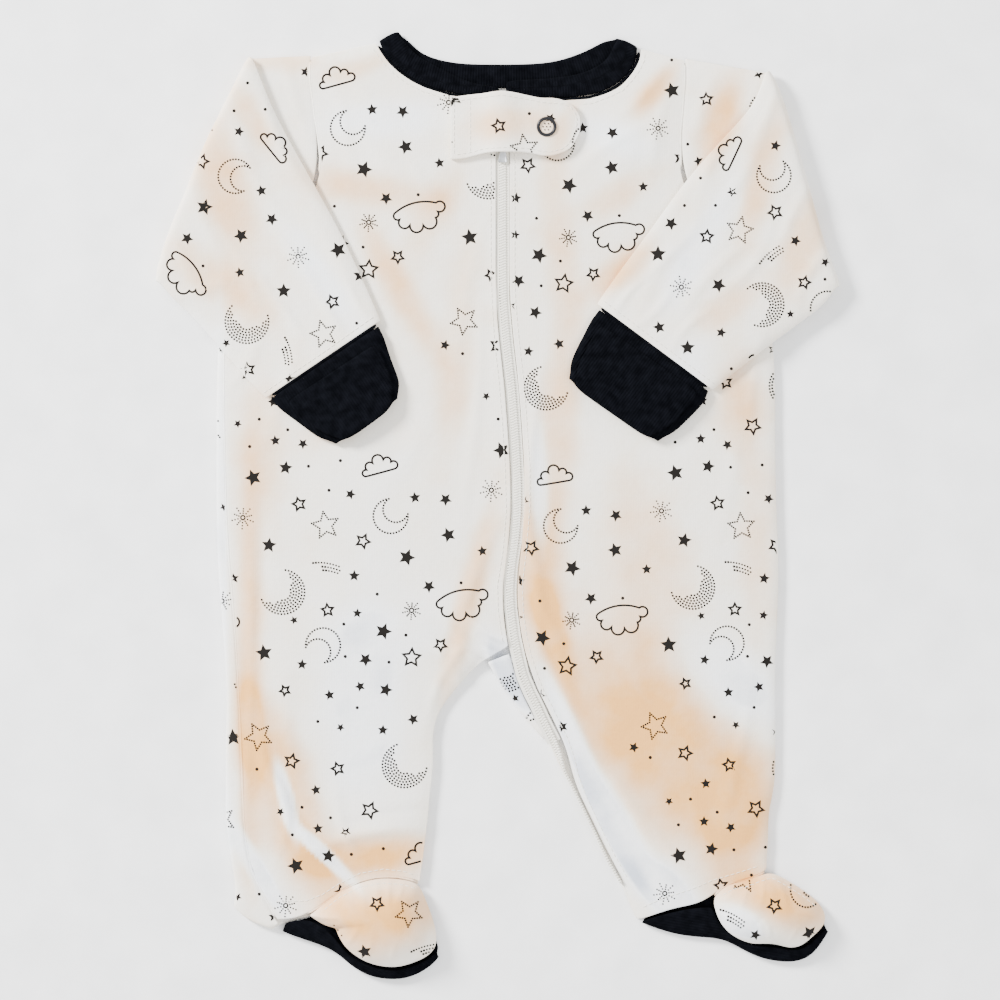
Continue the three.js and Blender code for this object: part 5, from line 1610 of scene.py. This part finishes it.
class SLEEPSUIT_OT_print(bpy.types.Operator):
    """Prints the night-sky repeat on every piece of jersey."""

    bl_idname = "sleepsuit.print"
    bl_label = "Print"

    def execute(self, context):
        settings = context.scene.sleepsuit_print
        patches = print_repeat(settings)
        for name in dict.fromkeys(place[0] for place in PRINT_PLACES):
            piece = bpy.data.objects[name]
            places = [place for place in PRINT_PLACES if place[0] == name]
            printed = print_on(piece, f"print_{name}", places, patches, settings)
            finish_piece(printed, garment_materials()["print_ink_finish"])
        return {"FINISHED"}


class SLEEPSUIT_OT_seams(bpy.types.Operator):
    """Rolls the edges that show along the seams."""

    bl_idname = "sleepsuit.seams"
    bl_label = "Seams"

    def execute(self, context):
        for name, finish, beside, side, radius, corners in SEAM_ROLLS:
            tree = surface_tree(bpy.data.objects[beside])
            path = []
            heights = []
            for middle, along in even_path(corners, ROLL_PITCH):
                cast_x = middle.x - along.y * side * ROLL_CAST
                cast_y = middle.y + along.x * side * ROLL_CAST
                found = drop_on(tree, cast_x, cast_y, 1, 0)
                if found is None:
                    continue
                path.append((middle.x, middle.y))
                heights.append(found[0].z - radius)
            padded = np.pad(heights, ROLL_EVENING // 2, "edge")
            even = np.convolve(padded, np.ones(ROLL_EVENING) / ROLL_EVENING, "valid")
            piece = roll(name, path, even, radius)
            if finish == "jersey":
                set_painted_light(piece.data)
                finish_piece(piece, garment_materials()["jersey_knit"])
            else:
                set_rib_run(piece.data, distance_along(positions(piece.data), path))
                finish_piece(piece, garment_materials()["rib_knit"])
        return {"FINISHED"}


class SLEEPSUIT_OT_stitching(bpy.types.Operator):
    """Sews the lines of stitches along the seams."""

    bl_idname = "sleepsuit.stitching"
    bl_label = "Stitching"

    def execute(self, context):
        settings = context.scene.sleepsuit_zip
        trees = {}
        points = []
        faces = []
        for name, path in STITCH_LINES:
            if name not in trees:
                trees[name] = surface_tree(bpy.data.objects[name])
            for middle, direction in even_path(path, settings.stitch_pitch / MM):
                found = drop_on(trees[name], middle.x, middle.y, 1, STITCH_LIFT)
                if found is None:
                    continue
                place, up = found
                along = Vector((direction.x, direction.y, 0))
                along = (along - up * along.dot(up)).normalized()
                stitch_bar(points, faces, place, along, up, settings.stitch_length / MM)
        stitches = new_object("stitches", points, faces)
        finish_piece(stitches, garment_materials()["thread_finish"])
        return {"FINISHED"}


class SLEEPSUIT_OT_stage(bpy.types.Operator):
    """Sets the pale floor, the soft lights and the camera straight above."""

    bl_idname = "sleepsuit.stage"
    bl_label = "Stage"

    def execute(self, context):
        settings = context.scene.sleepsuit_stage
        corners = [(x * FLOOR_HALF, y * FLOOR_HALF, 0) for x, y in ((-1, -1), (1, -1), (1, 1), (-1, 1))]
        floor = new_object("floor", corners, [(0, 1, 2, 3)])
        floor.data.materials.append(grained_material("floor_paper", settings.floor, 0.95, 40, 0))
        floor.location.z = -FLOOR_DROP
        for name, place, size, share in LIGHTS:
            light = bpy.data.lights.new(name, "AREA")
            light.shape = "DISK"
            light.size = size
            light.energy = settings.light * share
            lamp = bpy.data.objects.new(name, light)
            lamp.location = place
            lamp.rotation_mode = "QUATERNION"
            lamp.rotation_quaternion = (-Vector(place)).to_track_quat("-Z", "Y")
            context.scene.collection.objects.link(lamp)
        world = bpy.data.worlds.new("surround")
        world.use_nodes = True
        background = world.node_tree.nodes["Background"]
        background.inputs["Color"].default_value = SURROUND_COLOUR
        background.inputs["Strength"].default_value = settings.surround
        context.scene.world = world
        camera_data = bpy.data.cameras.new("camera")
        camera_data.sensor_width = SENSOR_WIDTH
        camera_data.lens = camera_data.sensor_width * settings.camera_height / settings.view_width
        camera = bpy.data.objects.new("camera", camera_data)
        camera.location = (*VIEW_CENTRE, settings.camera_height)
        context.scene.collection.objects.link(camera)
        context.scene.camera = camera
        return {"FINISHED"}


class SLEEPSUIT_PT_panel(bpy.types.Panel):
    """Lists the garment's pieces and their sizes."""

    bl_idname = "SLEEPSUIT_PT_panel"
    bl_label = "Sleepsuit"
    bl_space_type = "VIEW_3D"
    bl_region_type = "UI"
    bl_category = "Sleepsuit"

    def draw(self, context):
        for owner in PROPERTY_GROUPS:
            settings = getattr(context.scene, owner)
            for name in settings.__annotations__:
                self.layout.prop(settings, name)
        for operator in OPERATORS:
            self.layout.operator(operator.bl_idname)


VIEW_CENTRE = (0.0012, 0.0019)
NECK_SEAM = (
    (1.6, 194.4), (-12, 195.5), (-23, 197), (-35.5, 200.7), (-45, 206.3), (-51.5, 212.3), (-54.8, 217),
    (-52, 222), (-45.5, 214), (-36.5, 209), (-25, 206), (-12, 205), (0, 205), (13, 205), (29, 206),
    (47.5, 212), (58.5, 217), (62, 222), (66.6, 212.5), (62, 205.2), (54.3, 198.9), (43.5, 195.2),
    (25.5, 194.4), (3.8, 193.9),
)
PROPERTY_GROUPS = {
    "sleepsuit_cloth": ClothSettings,
    "sleepsuit_print": PrintSettings,
    "sleepsuit_zip": ZipSettings,
    "sleepsuit_stage": StageSettings,
}
OPERATORS = (
    SLEEPSUIT_OT_stage,
    SLEEPSUIT_OT_body,
    SLEEPSUIT_OT_sleeves,
    SLEEPSUIT_OT_rib_trim,
    SLEEPSUIT_OT_feet,
    SLEEPSUIT_OT_zip,
    SLEEPSUIT_OT_guard_tab,
    SLEEPSUIT_OT_seams,
    SLEEPSUIT_OT_print,
    SLEEPSUIT_OT_stitching,
)


def register():
    for group in PROPERTY_GROUPS.values():
        bpy.utils.register_class(group)
    for name, group in PROPERTY_GROUPS.items():
        setattr(bpy.types.Scene, name, PointerProperty(type=group))
    for operator in OPERATORS:
        bpy.utils.register_class(operator)
    bpy.utils.register_class(SLEEPSUIT_PT_panel)


def unregister():
    bpy.utils.unregister_class(SLEEPSUIT_PT_panel)
    for operator in reversed(OPERATORS):
        bpy.utils.unregister_class(operator)
    for name, group in PROPERTY_GROUPS.items():
        delattr(bpy.types.Scene, name)
        bpy.utils.unregister_class(group)


def main():
    register()
    bpy.ops.sleepsuit.stage()
    bpy.ops.sleepsuit.body()
    bpy.ops.sleepsuit.sleeves()
    bpy.ops.sleepsuit.rib_trim()
    bpy.ops.sleepsuit.feet()
    bpy.ops.sleepsuit.zip()
    bpy.ops.sleepsuit.guard_tab()
    bpy.ops.sleepsuit.seams()
    bpy.ops.sleepsuit.print()
    bpy.ops.sleepsuit.stitching()


if __name__ == "__main__":
    main()
